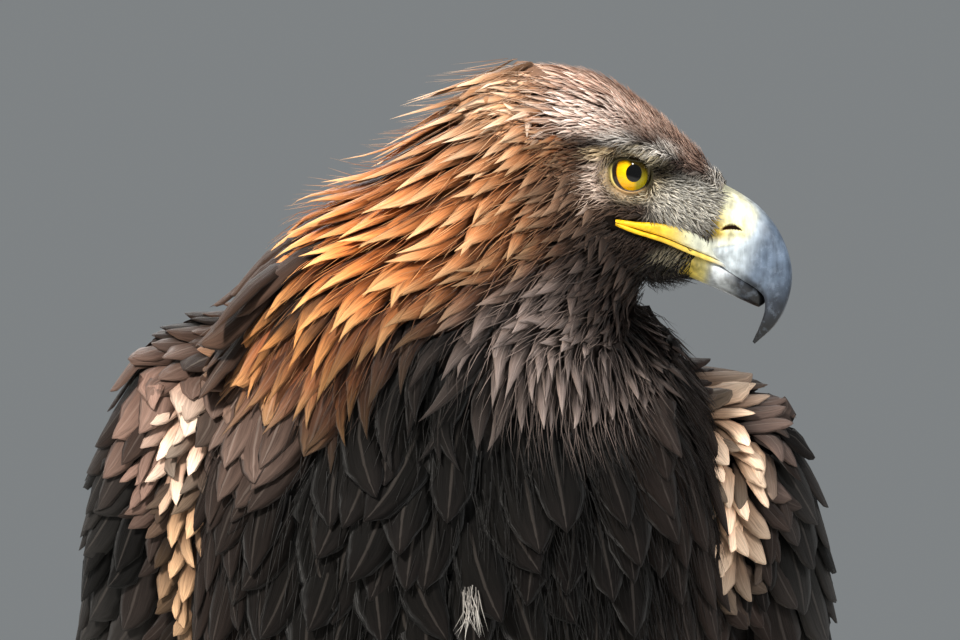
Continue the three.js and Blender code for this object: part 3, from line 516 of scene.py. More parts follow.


# %% [markdown]
# ## The skin under the coat
# Under its feathers a bird has one skin without a seam. Tubes through the tables' rows are joined, a
# voxel remesh melts them into one closed surface, and a light smoothing takes the steps out. It lies
# inside the coat by about the depth of the down, so it only shows as dark ground between feathers: its
# colour is that of the markings, darkened as painted shade.


# %% Tubes that the skin is melted from
def tube_of(surface, us, around, inset):
    u, v = np.meshgrid(us, around, indexing="ij")
    point, _, _, out = surface.axes(u, v)
    return point - out * inset


def wing_slab(name):
    surface = wings[name]
    q, across = np.meshgrid(np.linspace(-6, 380, 46), np.linspace(0.06, 0.94, 30), indexing="ij")
    point, _, _, out = surface.axes(q, across)
    outer = point - out * (7 + 0.03 * np.maximum(q - 200, 0))[..., None]
    inner = surface.point(q, across, 0.55)
    return np.concatenate([outer, inner[:, ::-1]], axis=1)


def tail_root():
    q, angle = np.meshgrid(np.linspace(-30, 60, 12), np.arange(0, 360, 15), indexing="ij")
    c, s = cos_sin(angle)
    size = 1 - 0.35 * np.clip(q / 60, 0, 1)
    return along(BODY_LENGTH + q, 25 * size * c, -18 + 11 * size * s)


ALL_ROUND = np.arange(0, 360, 6)
SKIN_DEPTH = 2.5
tubes = [
    tube_of(head, np.linspace(-35.5, 58, 60), ALL_ROUND, 1.8),
    tube_of(body, np.linspace(-0.6, 3.4, 30), ALL_ROUND, SKIN_DEPTH),
    tube_of(body, np.linspace(3, 14.2, 50), ALL_ROUND, SKIN_DEPTH),
    tail_root(),
]
for name in SIDES:
    tubes.append(wing_slab(name))
    tubes.append(tube_of(thighs[name], np.linspace(-372, -122, 40), ALL_ROUND, SKIN_DEPTH))
    tubes.append(tube_of(shanks[name], np.linspace(-0.1, 1.0, 20), ALL_ROUND, 1.0))


# %% Closed meshes
def recalculate(piece):
    """Turns all faces of a closed mesh outwards."""
    work = bmesh.new()
    work.from_mesh(piece.data)
    bmesh.ops.recalc_face_normals(work, faces=work.faces)
    work.to_mesh(piece.data)
    work.free()


def closed_piece(name, points, faces, marks=None):
    piece = make_piece(name, points, faces, marks=marks)
    recalculate(piece)
    return piece


def points_of(piece):
    place = np.zeros(len(piece.data.vertices) * 3)
    piece.data.vertices.foreach_get("co", place)
    return place.reshape(-1, 3) / MM - SHIFT


# %% Melt the tubes into one skin
SKIN_VOXEL = 0.00246  # metres, which keeps the skin under 200,000 triangles
# The skin's darkening is painted shade, for the shade between the feathers
SKIN_SHADE = 0.45  # the skin is this much darker than the feathers over it


def melted(name, tubes, voxel, smoothing):
    """One closed surface round tubes that cut into each other."""
    bodies = []
    for i, tube in enumerate(tubes):
        bodies.append(closed_piece(f"{name}_{i}", tube, closed_faces(*tube.shape[:2])))
    with bpy.context.temp_override(active_object=bodies[0], selected_editable_objects=bodies):
        bpy.ops.object.join()
    joined = bodies[0]
    melt = joined.modifiers.new("melt", "REMESH")
    melt.mode = "VOXEL"
    melt.voxel_size = voxel
    even = joined.modifiers.new("even", "SMOOTH")
    even.factor = 0.5
    even.iterations = smoothing
    depsgraph = bpy.context.evaluated_depsgraph_get()
    mesh = bpy.data.meshes.new_from_object(joined.evaluated_get(depsgraph))
    bpy.data.objects.remove(joined)
    made = bpy.data.objects.new(name, mesh)
    bpy.context.scene.collection.objects.link(made)
    mesh.name = name
    mesh.shade_smooth()
    return made


skin = melted("skin", tubes, SKIN_VOXEL, 8)
skin_colour, _, _ = markings_and_shade(points_of(skin))
layer = skin.data.attributes.new("coat", "FLOAT_COLOR", "POINT")
layer.data.foreach_set("color", coat_of(skin_colour * SKIN_SHADE)["coat"].ravel())
print("skin has", triangles(skin), "triangles")

# %% [markdown]
# ## Materials
# A small helper keeps the node trees short: it makes a node, sets its values and links its inputs. The
# plumage group is shared by every feather. It reads the feather's own map, in which x runs across the
# vane and y from root to tip, and draws the barbs as fine streaks, the shaft as a pale line and the edge
# a little lighter.


# %% Helper for node trees
class Nodes:
    def __init__(self, tree):
        self.tree = tree

    def add(self, kind, *values, out=0, named=None, **settings):
        """Makes a node and returns one of its outputs. Values are numbers, colours or other outputs."""
        made = self.tree.nodes.new("ShaderNode" + kind)
        for name, value in settings.items():
            setattr(made, name, value)
        pairs = list(zip(made.inputs, values))
        pairs += [(made.inputs[name], value) for name, value in (named or {}).items()]
        for socket, value in pairs:
            if isinstance(value, bpy.types.NodeSocket):
                self.tree.links.new(value, socket)
            elif value is not None:
                socket.default_value = value
        return made.outputs[out]

    def maths(self, operation, *values):
        return self.add("Math", *values, operation=operation)

    def blend(self, share, a, b):
        """Mixes two colours. A Mix node has its colour sockets after those for numbers and vectors."""
        made = self.tree.nodes.new("ShaderNodeMix")
        made.data_type = "RGBA"
        for socket, value in ((made.inputs[0], share), (made.inputs[6], a), (made.inputs[7], b)):
            if isinstance(value, bpy.types.NodeSocket):
                self.tree.links.new(value, socket)
            else:
                socket.default_value = value
        return made.outputs[2]

    def step(self, value, low, high):
        named = {"Value": value, "From Min": low, "From Max": high}
        return self.add("MapRange", named=named, interpolation_type="SMOOTHSTEP")


def opaque(colour):
    return (*(float(c) for c in colour), 1.0)


def new_material(name, roughness, specular=0.5, **constants):
    """A material and its tree, with the shader's constants set on the shader itself."""
    material = bpy.data.materials.new(name)
    material.use_nodes = True
    shader = material.node_tree.nodes["Principled BSDF"]
    shader.inputs["Roughness"].default_value = roughness
    shader.inputs["Specular IOR Level"].default_value = specular
    for socket, value in constants.items():
        shader.inputs[socket.replace("_", " ")].default_value = value
    return material, Nodes(material.node_tree), shader


def new_group(name, inputs, outputs):
    """A shader node group with named inputs and outputs."""
    tree = bpy.data.node_groups.new(name, "ShaderNodeTree")
    for socket, (kind, value) in inputs.items():
        made = tree.interface.new_socket(socket, in_out="INPUT", socket_type=kind)
        made.default_value = value
    for socket, kind in outputs.items():
        tree.interface.new_socket(socket, in_out="OUTPUT", socket_type=kind)
    nodes = Nodes(tree)
    entry = tree.nodes.new("NodeGroupInput")
    leave = tree.nodes.new("NodeGroupOutput")
    return nodes, entry.outputs, leave.inputs


def relief(nodes, shader, height, strength, distance):
    """Gives a shader the bumps of a height, which stand out by a distance in metres."""
    normal = nodes.add("Bump", named={"Strength": strength, "Distance": distance, "Height": height})
    nodes.tree.links.new(normal, shader.inputs["Normal"])


def dress(nodes, shader, group, bump, distance=0.0003, **values):
    """Gives a shader a group's colour and the bumps of its height."""
    made = nodes.tree.nodes.new("ShaderNodeGroup")
    made.node_tree = bpy.data.node_groups[group]
    for socket, value in values.items():
        made.inputs[socket].default_value = value
    nodes.tree.links.new(made.outputs["Colour"], shader.inputs["Base Color"])
    relief(nodes, shader, made.outputs["Height"], bump, distance)


# %% The plumage group
FLOAT, COLOUR = "NodeSocketFloat", "NodeSocketColor"
g, given, result = new_group(
    "plumage",
    {"Streaks": (FLOAT, 0.3), "Fineness": (FLOAT, 9.0), "Slant": (FLOAT, 0.5), "Edge": (FLOAT, 0.0)},
    {"Colour": COLOUR, "Height": FLOAT},
)
coat = g.add("Attribute", attribute_name="coat")
trait = g.add("SeparateXYZ", g.add("Attribute", attribute_name="trait", out=1))
shaft_share, chance = trait, trait.node.outputs[1]
x = g.add("SeparateXYZ", g.add("UVMap", uv_map="vane"))
y = x.node.outputs[1]
off_shaft = g.maths("ABSOLUTE", g.maths("MULTIPLY_ADD", x, 2.0, -1.0))
barb = g.maths("SUBTRACT", y, g.maths("MULTIPLY", off_shaft, given["Slant"]))
seed = g.maths("MULTIPLY", chance, 60.0)
wide = g.add("CombineXYZ", g.maths("MULTIPLY", x, given["Fineness"]), g.maths("MULTIPLY", barb, 2.2), seed)
fine_x = g.maths("MULTIPLY", x, g.maths("MULTIPLY", given["Fineness"], 4.0))
fine = g.add("CombineXYZ", fine_x, g.maths("MULTIPLY", barb, 5.0), seed)
broad_streak = g.add("TexNoise", named={"Vector": wide, "Scale": 1.0, "Detail": 2.0})
fine_streak = g.add("TexNoise", named={"Vector": fine, "Scale": 1.0, "Detail": 2.0})
streak = g.maths("ADD", g.maths("MULTIPLY", broad_streak, 0.55), g.maths("MULTIPLY", fine_streak, 0.45))
swing = g.maths("MULTIPLY", g.maths("SUBTRACT", streak, 0.5), g.maths("MULTIPLY", given["Streaks"], 4.0))
gain = g.maths("MAXIMUM", g.maths("ADD", swing, 1.0), 0.15)
streaked = g.add("VectorMath", coat, operation="SCALE")
g.tree.links.new(gain, streaked.node.inputs["Scale"])
shaft = g.maths("MULTIPLY", g.step(off_shaft, 0.09, 0.03), g.step(y, 0.15, 0.5))
pale = g.add("VectorMath", streaked, (0.1, 0.085, 0.075), operation="ADD")
with_shaft = g.blend(g.maths("MULTIPLY", shaft, shaft_share), streaked, pale)
edge = g.maths("MULTIPLY", g.step(off_shaft, 0.6, 1.0), given["Edge"])
with_edge = g.blend(edge, with_shaft, g.add("VectorMath", streaked, (1.9, 1.8, 1.7), operation="MULTIPLY"))
g.tree.links.new(with_edge, result["Colour"])
height = g.maths("ADD", streak, g.maths("MULTIPLY", shaft, 0.25))
g.tree.links.new(height, result["Height"])


# %% Feather materials
def feather_material(name, roughness, bump, specular=0.12, **values):
    made, nodes, shader = new_material(name, roughness, specular, Sheen_Weight=0.05, Sheen_Roughness=0.45)
    dress(nodes, shader, "plumage", bump, 0.0006, **values)
    return made


HACKLE = feather_material("hackle_feathers", 0.62, 0.8, Streaks=0.6, Fineness=9.0, Slant=0.35, Edge=0.3)
BODY = feather_material("body_feathers", 0.7, 0.8, 0.06, Streaks=0.6, Fineness=11.0, Slant=0.6)
COVERTS = feather_material("wing_coverts", 0.62, 0.7, 0.08, Streaks=0.5, Fineness=12.0, Slant=0.8, Edge=0.55)
FLIGHT = feather_material("flight_feathers", 0.48, 0.4, Streaks=0.2, Fineness=14.0, Slant=0.25, Edge=0.2)
SMALL = feather_material("small_feathers", 0.7, 0.5, Streaks=0.5, Fineness=5.0, Slant=0.3)

skin_material, nodes, shader = new_material("skin_under_coat", 0.8, 0.2)
coat = nodes.add("Attribute", attribute_name="coat")
grain = nodes.add("TexNoise", nodes.add("TexCoord", out=3), named={"Scale": 700.0, "Detail": 3.0})
darker = nodes.add("VectorMath", coat, (0.55, 0.55, 0.55), operation="MULTIPLY")
nodes.tree.links.new(nodes.blend(grain, darker, coat), shader.inputs["Base Color"])
relief(nodes, shader, grain, 0.6, 0.0008)
flesh_nodes = ["torso", "neck", "head"] + [f"{part}_{side}" for part in ("thigh", "shank") for side in SIDES]
settle(skin, skin_material, "body", *flesh_nodes)

# %% [markdown]
# ## How a feather is made
# A feather is a thin closed vane: a few stations from root to tip, and at each a ring of corners, several
# above and one below. Its spine walks over the surface the way the coat lies and slowly lifts off it, so
# that its tip covers the roots of the next ones. Width, lift, turn and bend vary a little from one
# feather to the next.

# %% Outlines of the feathers
# Share of the length, and share of the greatest width there
LANCE = [[0, 0.3], [0.2, 0.8], [0.42, 1], [0.62, 0.74], [0.8, 0.38], [0.92, 0.15], [1, 0.02]]
LEAF = [[0, 0.35], [0.25, 0.85], [0.5, 1], [0.72, 0.9], [0.87, 0.58], [0.96, 0.22], [1, 0.03]]
ROUND = [[0, 0.5], [0.3, 0.92], [0.6, 1], [0.8, 0.94], [0.92, 0.7], [0.98, 0.36], [1, 0.06]]
BLUNT = [[0, 0.4], [0.28, 0.88], [0.55, 1], [0.76, 0.9], [0.89, 0.6], [0.97, 0.26], [1, 0.04]]
WISP = [[0, 1], [0.45, 0.7], [1, 0.04]]


# %% Roots spread evenly over a surface
def scatter(surface, us, vs, spacing, dice, tries=20000, keep=None):
    """u and v of roots that keep a spacing in millimetres, one number or a function of the points."""
    u, v = dice.uniform(*us, tries), dice.uniform(*vs, tries)
    points, by_u, by_v, _ = surface.axes(u, v)
    reach = np.broadcast_to(spacing(points) if callable(spacing) else spacing, tries)
    wish = np.sqrt((np.cross(by_u, by_v) ** 2).sum(-1)) / reach**2
    fair = dice.random(tries) < wish / np.percentile(wish, 90)
    if keep is not None:
        fair &= keep(points)
    u, v, points, reach = u[fair], v[fair], points[fair], reach[fair]
    tree = KDTree(len(points))
    for i, point in enumerate(points):
        tree.insert(point, i)
    tree.balance()
    free, chosen = np.ones(len(points), bool), []
    for i, point in enumerate(points):
        if free[i]:
            chosen.append(i)
            free[[found[1] for found in tree.find_range(point, reach[i])]] = False
    return u[chosen], v[chosen]


# %% Vanes that walk over a surface
# What each surface's u and v span in the bake map: low and high u, low and high v
BODY_CHART = (-0.6, 14.6, 0, 360)
HEAD_CHART = (-36, 60, 0, 360)
WING_CHART = (-30, 260, -0.1, 1.1)
SECONDARY_CHART = (-20, 260, -0.1, 1.1)
PRIMARY_CHART = (-20, 620, -0.1, 1.1)
TAIL_CHART = (-10, 300, -60, 60)


def turn_about(way, out, angle):
    c, s = np.cos(angle)[:, None], np.sin(angle)[:, None]
    return way * c + np.cross(out, way) * s


def stepped(here, step, by_u, by_v):
    """u and v after a step in millimetres."""
    uu, vv, uv = dot(by_u, by_u)[:, 0], dot(by_v, by_v)[:, 0], dot(by_u, by_v)[:, 0]
    su, sv = dot(step, by_u)[:, 0], dot(step, by_v)[:, 0]
    scale = np.maximum(uu * vv - uv * uv, 1e-9)
    return here[0] + (su * vv - sv * uv) / scale, here[1] + (sv * uu - su * uv) / scale


def spines(surface, here, stations, long, heading, bending, low, tip, lie):
    """Walks over the surface from the roots: places, directions out and directions aside."""
    spine, outs, sides = [], [], []
    for i, share in enumerate(stations):
        point, by_u, by_v, out = surface.axes(*here)
        way = by_u if lie is None else lie(point)
        way = unit(way - out * dot(way, out))
        way = turn_about(way, out, heading + bending * share * 4)
        spine.append(point + out * mix(low, tip, share)[:, None])
        outs.append(out)
        sides.append(np.cross(way, out))
        if i + 1 < len(stations):
            step = way * (long * (stations[i + 1] - share))[:, None]
            here = stepped(here, step, by_u, by_v)
    return [np.stack(rows, 1)[:, :, None] for rows in (spine, outs, sides)]


# %% Feathers as arrays
def grow(surface, u, v, length, width, outline, dice, *, lifts=(-1.5, 4), corners=5, camber=0.2, thick=0.3,
         turn=0.0, spread=5.0, lie=None, bend=4.0, ragged=0.07, chart=None):
    """Points by feather, station and corner, with their maps and their roots."""
    u, v = np.array(u, float), np.array(v, float)
    n = len(u)
    outline = np.array(outline, float)
    stations = outline[:, 0]
    long = length * dice.uniform(0.87, 1.13, n)
    wide = width * dice.uniform(0.88, 1.12, n)
    heading = np.radians(turn + dice.normal(0, spread, n))
    bending = np.radians(dice.normal(0, bend, n))
    tip = lifts[1] * dice.uniform(0.55, 1.45, n)
    spine, outs, sides = spines(surface, (u, v), stations, long, heading, bending, lifts[0], tip, lie)
    place = np.linspace(-1, 1, corners)
    half = (wide[:, None] * outline[:, 1] / 2)[:, :, None]
    torn = 1 + dice.normal(0, ragged, (n, len(stations), corners)) * np.abs(place)
    across = sides * (half * place * torn)[..., None]
    sag = outs * (-camber * half * place**2)[..., None]
    upper = spine + across + sag
    lower = spine - outs * (thick * np.minimum(1, outline[:, 1] * 2))[None, :, None, None]
    points = np.concatenate([upper, lower], 2)
    vane_x = np.append((place + 1) / 2, 0.5)
    vane = np.stack(np.broadcast_arrays(vane_x, stations[:, None]), -1)
    vane = np.broadcast_to(vane, (n, *vane.shape))
    low_u, high_u, low_v, high_v = chart or (min(u), max(u), min(v), max(v))
    root = np.stack([(u - low_u) / (high_u - low_u + 1e-6), (v - low_v) / (high_v - low_v + 1e-6)], -1)
    return {
        "points": points,
        "vane": vane,
        "patch": 0.004 + 0.992 * root[:, None, None] + 0.003 * (vane - 0.5),
        "root": points[:, 0, corners // 2],
        "middle": points[:, len(stations) // 2, corners // 2],
        "chance": dice.random(n),
        "outline": outline,
    }


# %% Colour along each feather, and feathers joined into one piece
def tones(batch, colour=None, tip=None, shaft=None, dark_root_and_shade=0.35, root_end=0.5, from_tip=0.55, uneven=0.14,
          freckled=0.0, on_wing=False):
    """Corner colours: dark at the root, partly painted shade, then the patch's colour, and the tip's at the
    end.
    """
    base, end, rachis = markings_and_shade(batch["middle"], on_wing)
    base = base if colour is None else np.broadcast_to(colour, base.shape)
    end = end if tip is None else np.broadcast_to(tip, end.shape)
    rachis = rachis if shaft is None else np.full_like(rachis, shaft)
    share = batch["vane"][..., 1:]
    # Painted shade, and the feather's own darker base: the root is darkened where others lie over it
    value = mix(base[:, None, None] * dark_root_and_shade, base[:, None, None], ease(share, root_end - 0.45, root_end))
    value = mix(value, end[:, None, None], ease(share, from_tip, 1.0))
    gain = (1 + uneven * (2 * batch["chance"] - 1)) * np.where(batch["chance"] < freckled, 0.35, 1)
    value = value * gain[:, None, None, None]
    batch["colour"] = coat_of(value)["coat"]
    full = np.ones(share.shape[:-1])
    batch["trait"] = np.stack([full * rachis[:, None], full * batch["chance"][:, None, None], full], -1)
    return batch


def plume(name, batches, material, slot, *nodes):
    """Joins batches of feathers into one piece of solid vanes."""
    points, vane, patch, colour, trait = [], [], [], [], []
    squares, caps = [], {}
    start = 0
    for i, batch in enumerate(batches):
        n, rows, ring, _ = batch["points"].shape
        each = np.arange(n)[:, None, None] * rows * ring + start
        squares.append((grid_faces(rows, ring)[None] + each).reshape(-1, 4))
        circle = np.arange(ring)
        for cap in (circle[::-1], circle + (rows - 1) * ring):
            caps.setdefault(ring, []).append(cap[None] + each[:, 0])
        start += n * rows * ring
        points.append(batch["points"].reshape(-1, 3))
        vane.append(batch["vane"].reshape(-1, 2))
        strip = batch["patch"].reshape(-1, 2) * [1 / len(batches), 1] + [i / len(batches), 0]
        patch.append(strip)
        colour.append(batch["colour"].reshape(-1, 4))
        trait.append(batch["trait"].reshape(-1, 3))
    faces = [np.concatenate(squares)] + [np.concatenate(group) for group in caps.values()]
    joined = [np.concatenate(group) for group in (points, vane, patch, colour, trait)]
    maps = {"vane": joined[1], "OFBake": joined[2]}
    piece = make_piece(name, joined[0], faces, maps, {"coat": joined[3], "trait": joined[4]})
    return settle(piece, material, slot, *nodes)


# %% [markdown]
# ## The neck's hackles
# The long, pointed feathers of the nape give the golden eagle its name. Each is dark at its root, partly its
# own colour and partly painted shade where it lies under others, and golden to cream at its end. The
# largest are about 9 mm wide and 38 to 47 mm long. They are spread evenly over the neck, closer together
# towards the cheek, and loose barbs lie between them.


# %% Hackles down the neck
HACKLES_DOWN_TO, BREAST_UP_TO = 550, 560  # heights, which overlap a little
dice = np.random.default_rng(11)


def neck_gap(points):
    """Wide at the nape and the shoulders, narrow at the cheek and the throat."""
    return mix(7.4, 4.3, ease(from_head(points)[..., 0], -62, -18))


def barb_gap(points):
    return 0.48 * neck_gap(points)


def above_breast(points):
    return points[..., 2] > HACKLES_DOWN_TO


def at_nape(v):
    """1 on the back of the neck and 0 in front."""
    return ease(-np.cos(np.radians(v)), 0.2, 0.9)


u, v = scatter(body, (-0.55, 4.3), (0, 360), neck_gap, dice, 30000, above_breast)
gap = neck_gap(body.point(u, v))
long = gap * (5.2 + 1.2 * at_nape(v))
hackles = grow(body, u, v, long, gap * 1.26, LANCE, dice, lifts=(-2, 4.2 + 7 * at_nape(v)), spread=8, bend=3,
               camber=0.3)
u, v = scatter(body, (-0.5, 5.5), (0, 360), barb_gap, dice, 60000)
barbs = grow(body, u, v, 17, 0.5, WISP, dice, lifts=(0.8, 3.6 + 8 * at_nape(v)), corners=2, thick=0.2,
             spread=8, bend=3)
plume("hackles", [tones(hackles, dark_root_and_shade=0.16, root_end=0.7, from_tip=0.5, uneven=0.3)], HACKLE, "hackle")
plume("loose_barbs", [tones(barbs, dark_root_and_shade=0.6, from_tip=0.3, uneven=0.45)], SMALL, "hackle")

# %% [markdown]
# ## Feathers of the breast, belly and back
# The body's contour feathers are broad and leaf-shaped, about 46 mm long. They lie close, so they are
# spread evenly over the surface and lift only a little.


# %% Contour feathers
def below_hackles(points):
    return points[..., 2] < BREAST_UP_TO


dice = np.random.default_rng(12)
u, v = scatter(body, (2.2, 14.6), (0, 360), 11.0, dice, 26000, below_hackles)
contour = grow(body, u, v, 46, 19, LEAF, dice, lifts=(-2.5, 4.2), corners=5, spread=6)
plume("body_feathers", [tones(contour, from_tip=0.6, uneven=0.2)], BODY, "body")


# %% A tuft of white down on the breast
def tuft_place(points):
    return weigh(points[..., [0, 2]], [5, 472], [3.6, 3]) > 0.5


u, v = scatter(body, (3.2, 5.6), (-25, 25), 0.8, dice, 40000, tuft_place)
down = grow(body, u, v, 15, 0.45, WISP, dice, lifts=(4.4, 7), corners=2, thick=0.2, spread=13, bend=9,
            chart=BODY_CHART)
white = tones(down, colour=tint(176, 170, 163), tip=tint(236, 231, 225), shaft=0, uneven=0.5)
plume("white_down", [white], SMALL, "body")

# %% [markdown]
# ## Feathers of the head
# On the head the feathers shrink from about 25 mm at the nape to 5 mm near the bill. They lie backwards
# over the crown, and back and down over the cheek. Round the eye and between eye and bill there are only
# bristles 3 mm long.


# %% How the head's feathers lie
OPENING = {"x": 2.1, "z": -0.5, "half_length": 6.7, "half_height": 6.3}


def gape_line(x):
    """Height of the line of the mouth at x."""
    return columns([[-3.2, -18], [3, -19.9], [13.5, -23.1], [22.7, -27], [31, -30.4], [38, -34]], x)[0]


def head_lie(points):
    """Backwards over the crown, like a fan before the eye and hanging at the chin."""
    x, _, z = np.moveaxis(from_head(points), -1, 0)
    down = mix(0.18, 0.5, ease(-z, 0, 30)) + 0.25 * ease(-x, 10, 50)
    way = vec(-1, 0, -down * (1 - 1.3 * ease(z, 10, 26)))
    fan = unit(vec(x - 6, 0, z + 1))
    lore = ease(x, 5, 10) * ease(z, -26, -21) * (1 - ease(z + 0.3 * (x - 8), 1, 5))
    way = mix(way, fan, lore[..., None])
    chin = ease(-z, 31, 35) * ease(x, 0, 8)
    way = mix(way, vec(0.35, 0, -0.95), chin[..., None])
    tuft = ease(x, 29, 33) * ease(z, -8, -4)
    way = mix(way, vec(-0.45, 0, 0.9), tuft[..., None])
    return yawed(way, -HEAD_YAW)


def off_opening(x, z):
    """1 at the rim of the eye's opening and larger outside it."""
    return np.hypot((x - OPENING["x"]) / OPENING["half_length"], (z - OPENING["z"]) / OPENING["half_height"])


def feathered(points):
    """Where the head has feathers: not on the eye, the bill, the cere or the edge of the mouth."""
    x, _, z = np.moveaxis(from_head(points), -1, 0)
    top = x < 36.5 + 0.3 * z
    mouth = (x > -6) & (z > gape_line(x) - 2.4) & (z < gape_line(x) + mix(4.6, 6, ease(x, 0, 12)))
    bill = (x > 26) & (z < gape_line(x) + 6)
    under = (x > 24) & (z < -24)
    return (off_opening(x, z) > 1.15) & top & ~mouth & ~bill & ~under


def bristly(points):
    """The bare-looking parts of the face: before and round the eye, and along the mouth."""
    x, y, z = np.moveaxis(from_head(points), -1, 0)
    lore = (x > 6) & (z + 0.3 * (x - 8) < 3.5) & (z > gape_line(x))
    ring = off_opening(x, z) < 1.65
    below = (x > -2) & (z < gape_line(x)) & (z > gape_line(x) - 8)
    tuft = (x > 28) & (z > -9)
    return feathered(points) & (np.abs(y) > 3) & (lore | ring | below | tuft)


def head_gap(points):
    x, _, z = np.moveaxis(from_head(points), -1, 0)
    return mix(1.25, 4.0, ease(np.hypot(x - 6, z - 2), 8, 54))


# %% Head feathers
def covered(points):
    """Where the head has proper feathers and not bristles."""
    return feathered(points) & ~bristly(points)


def hair_gap(points):
    return 0.6 * head_gap(points)


dice = np.random.default_rng(13)
u, v = scatter(head, (-36, 60), (0, 360), head_gap, dice, 90000, covered)
place = head.point(u, v)
gap = head_gap(place)
behind = ease(-from_head(place)[:, 0], 30, 54)
short = grow(head, u, v, gap * (4.4 + 2 * behind), gap * 1.25, LANCE[::2], dice,
             lifts=(-0.8, 1.3 + 6 * behind), corners=3, lie=head_lie, thick=0.2, spread=8, ragged=0.1)
plume("head_feathers", [tones(short, from_tip=0.5, dark_root_and_shade=0.75, uneven=0.35)], SMALL, "head")

# %% Bristles of the face and whiskers of the chin
u, v = scatter(head, (-36, 8), (0, 360), 0.7, dice, 240000, bristly)
bristles = grow(head, u, v, 3.3, 0.6, WISP, dice, lifts=(-0.5, 1.1), corners=2, lie=head_lie, thick=0.2,
                spread=16, chart=HEAD_CHART)


def below_chin(points):
    x, _, z = np.moveaxis(from_head(points), -1, 0)
    return (x > -12) & (x < 27) & (z < -29 + 0.1 * x)


u, v = scatter(head, (-28, 14), (90, 270), 1.7, dice, 40000, below_chin)
whiskers = grow(head, u, v, 12, 0.55, WISP, dice, lifts=(-0.5, 4.5), corners=2, lie=head_lie, thick=0.25,
                spread=22, bend=8, chart=HEAD_CHART)
u, v = scatter(head, (-30, 58), (0, 360), hair_gap, dice, 120000, covered)
long = 4.6 * head_gap(head.point(u, v)) ** 0.7
hairs = grow(head, u, v, long, 0.42, WISP, dice, lifts=(0.3, 2), corners=2, lie=head_lie, thick=0.2,
             spread=10, bend=5, chart=HEAD_CHART)
black = tones(whiskers, colour=tint(26, 22, 20), tip=tint(44, 37, 33))
plume("face_bristles", [tones(bristles, from_tip=0.6, dark_root_and_shade=0.8, uneven=0.5), black], SMALL, "head")
plume("head_hairs", [tones(hairs, from_tip=0.3, dark_root_and_shade=1.0, uneven=0.5)], SMALL, "head")

# %% [markdown]
# ## Eyes
# The eyeball is a globe whose rings run round the line of sight, so that iris and pupil are drawn by the
# distance from that line. Each corner keeps that distance as an attribute, and the material turns it into
# colours, with painted shade from the brow over the front and the top of the iris. The lids are a thick
# rim of skin that follows the globe, widened behind and cut short by the brow above.


# %% Eyeball
GLOBE = EYE_PLACE + np.array([1.4, 0])
GAZE = math.radians(38)
GAZE_UP = math.radians(2)
IRIS_RADIUS = 7.4
PUPIL_RADIUS = 3.1
PUPIL_SET_BACK = 1.3  # it lies behind the bulge, so from the side it seems further back
PUPIL_DROP = 0.5
CORNEA_BULGE = 0.7


def eye_axes(side):
    """Line of sight, and the directions forwards and up across it, in the head's frame."""
    sight = np.array([math.sin(GAZE), side * math.cos(GAZE), math.tan(GAZE_UP)])
    sight = sight / np.linalg.norm(sight)
    ahead = np.array([math.cos(GAZE), -side * math.sin(GAZE), 0.0])
    return sight, ahead, np.cross(ahead, sight) * side


def eyeball(name, side):
    sight, ahead, up = eye_axes(side)
    down, turn = np.meshgrid(np.linspace(0.5, 179.5, 120), np.arange(0, 360, 5), indexing="ij")
    away = np.radians(down)
    radius = EYE_RADIUS - 0.25 + CORNEA_BULGE * (1 - ease(down, 12, 46))
    c, s = np.cos(np.radians(turn)) * np.sin(away), np.sin(np.radians(turn)) * np.sin(away)
    points = radius[..., None] * (sight * np.cos(away)[..., None] + ahead * c[..., None] + up * s[..., None])
    centre = np.array([GLOBE[0], side * GLOBE[1], 0.0])
    marks = {"look": vec(EYE_RADIUS * c, EYE_RADIUS * s, np.cos(away))}
    return closed_piece(name, in_head(points + centre), closed_faces(*down.shape), marks)


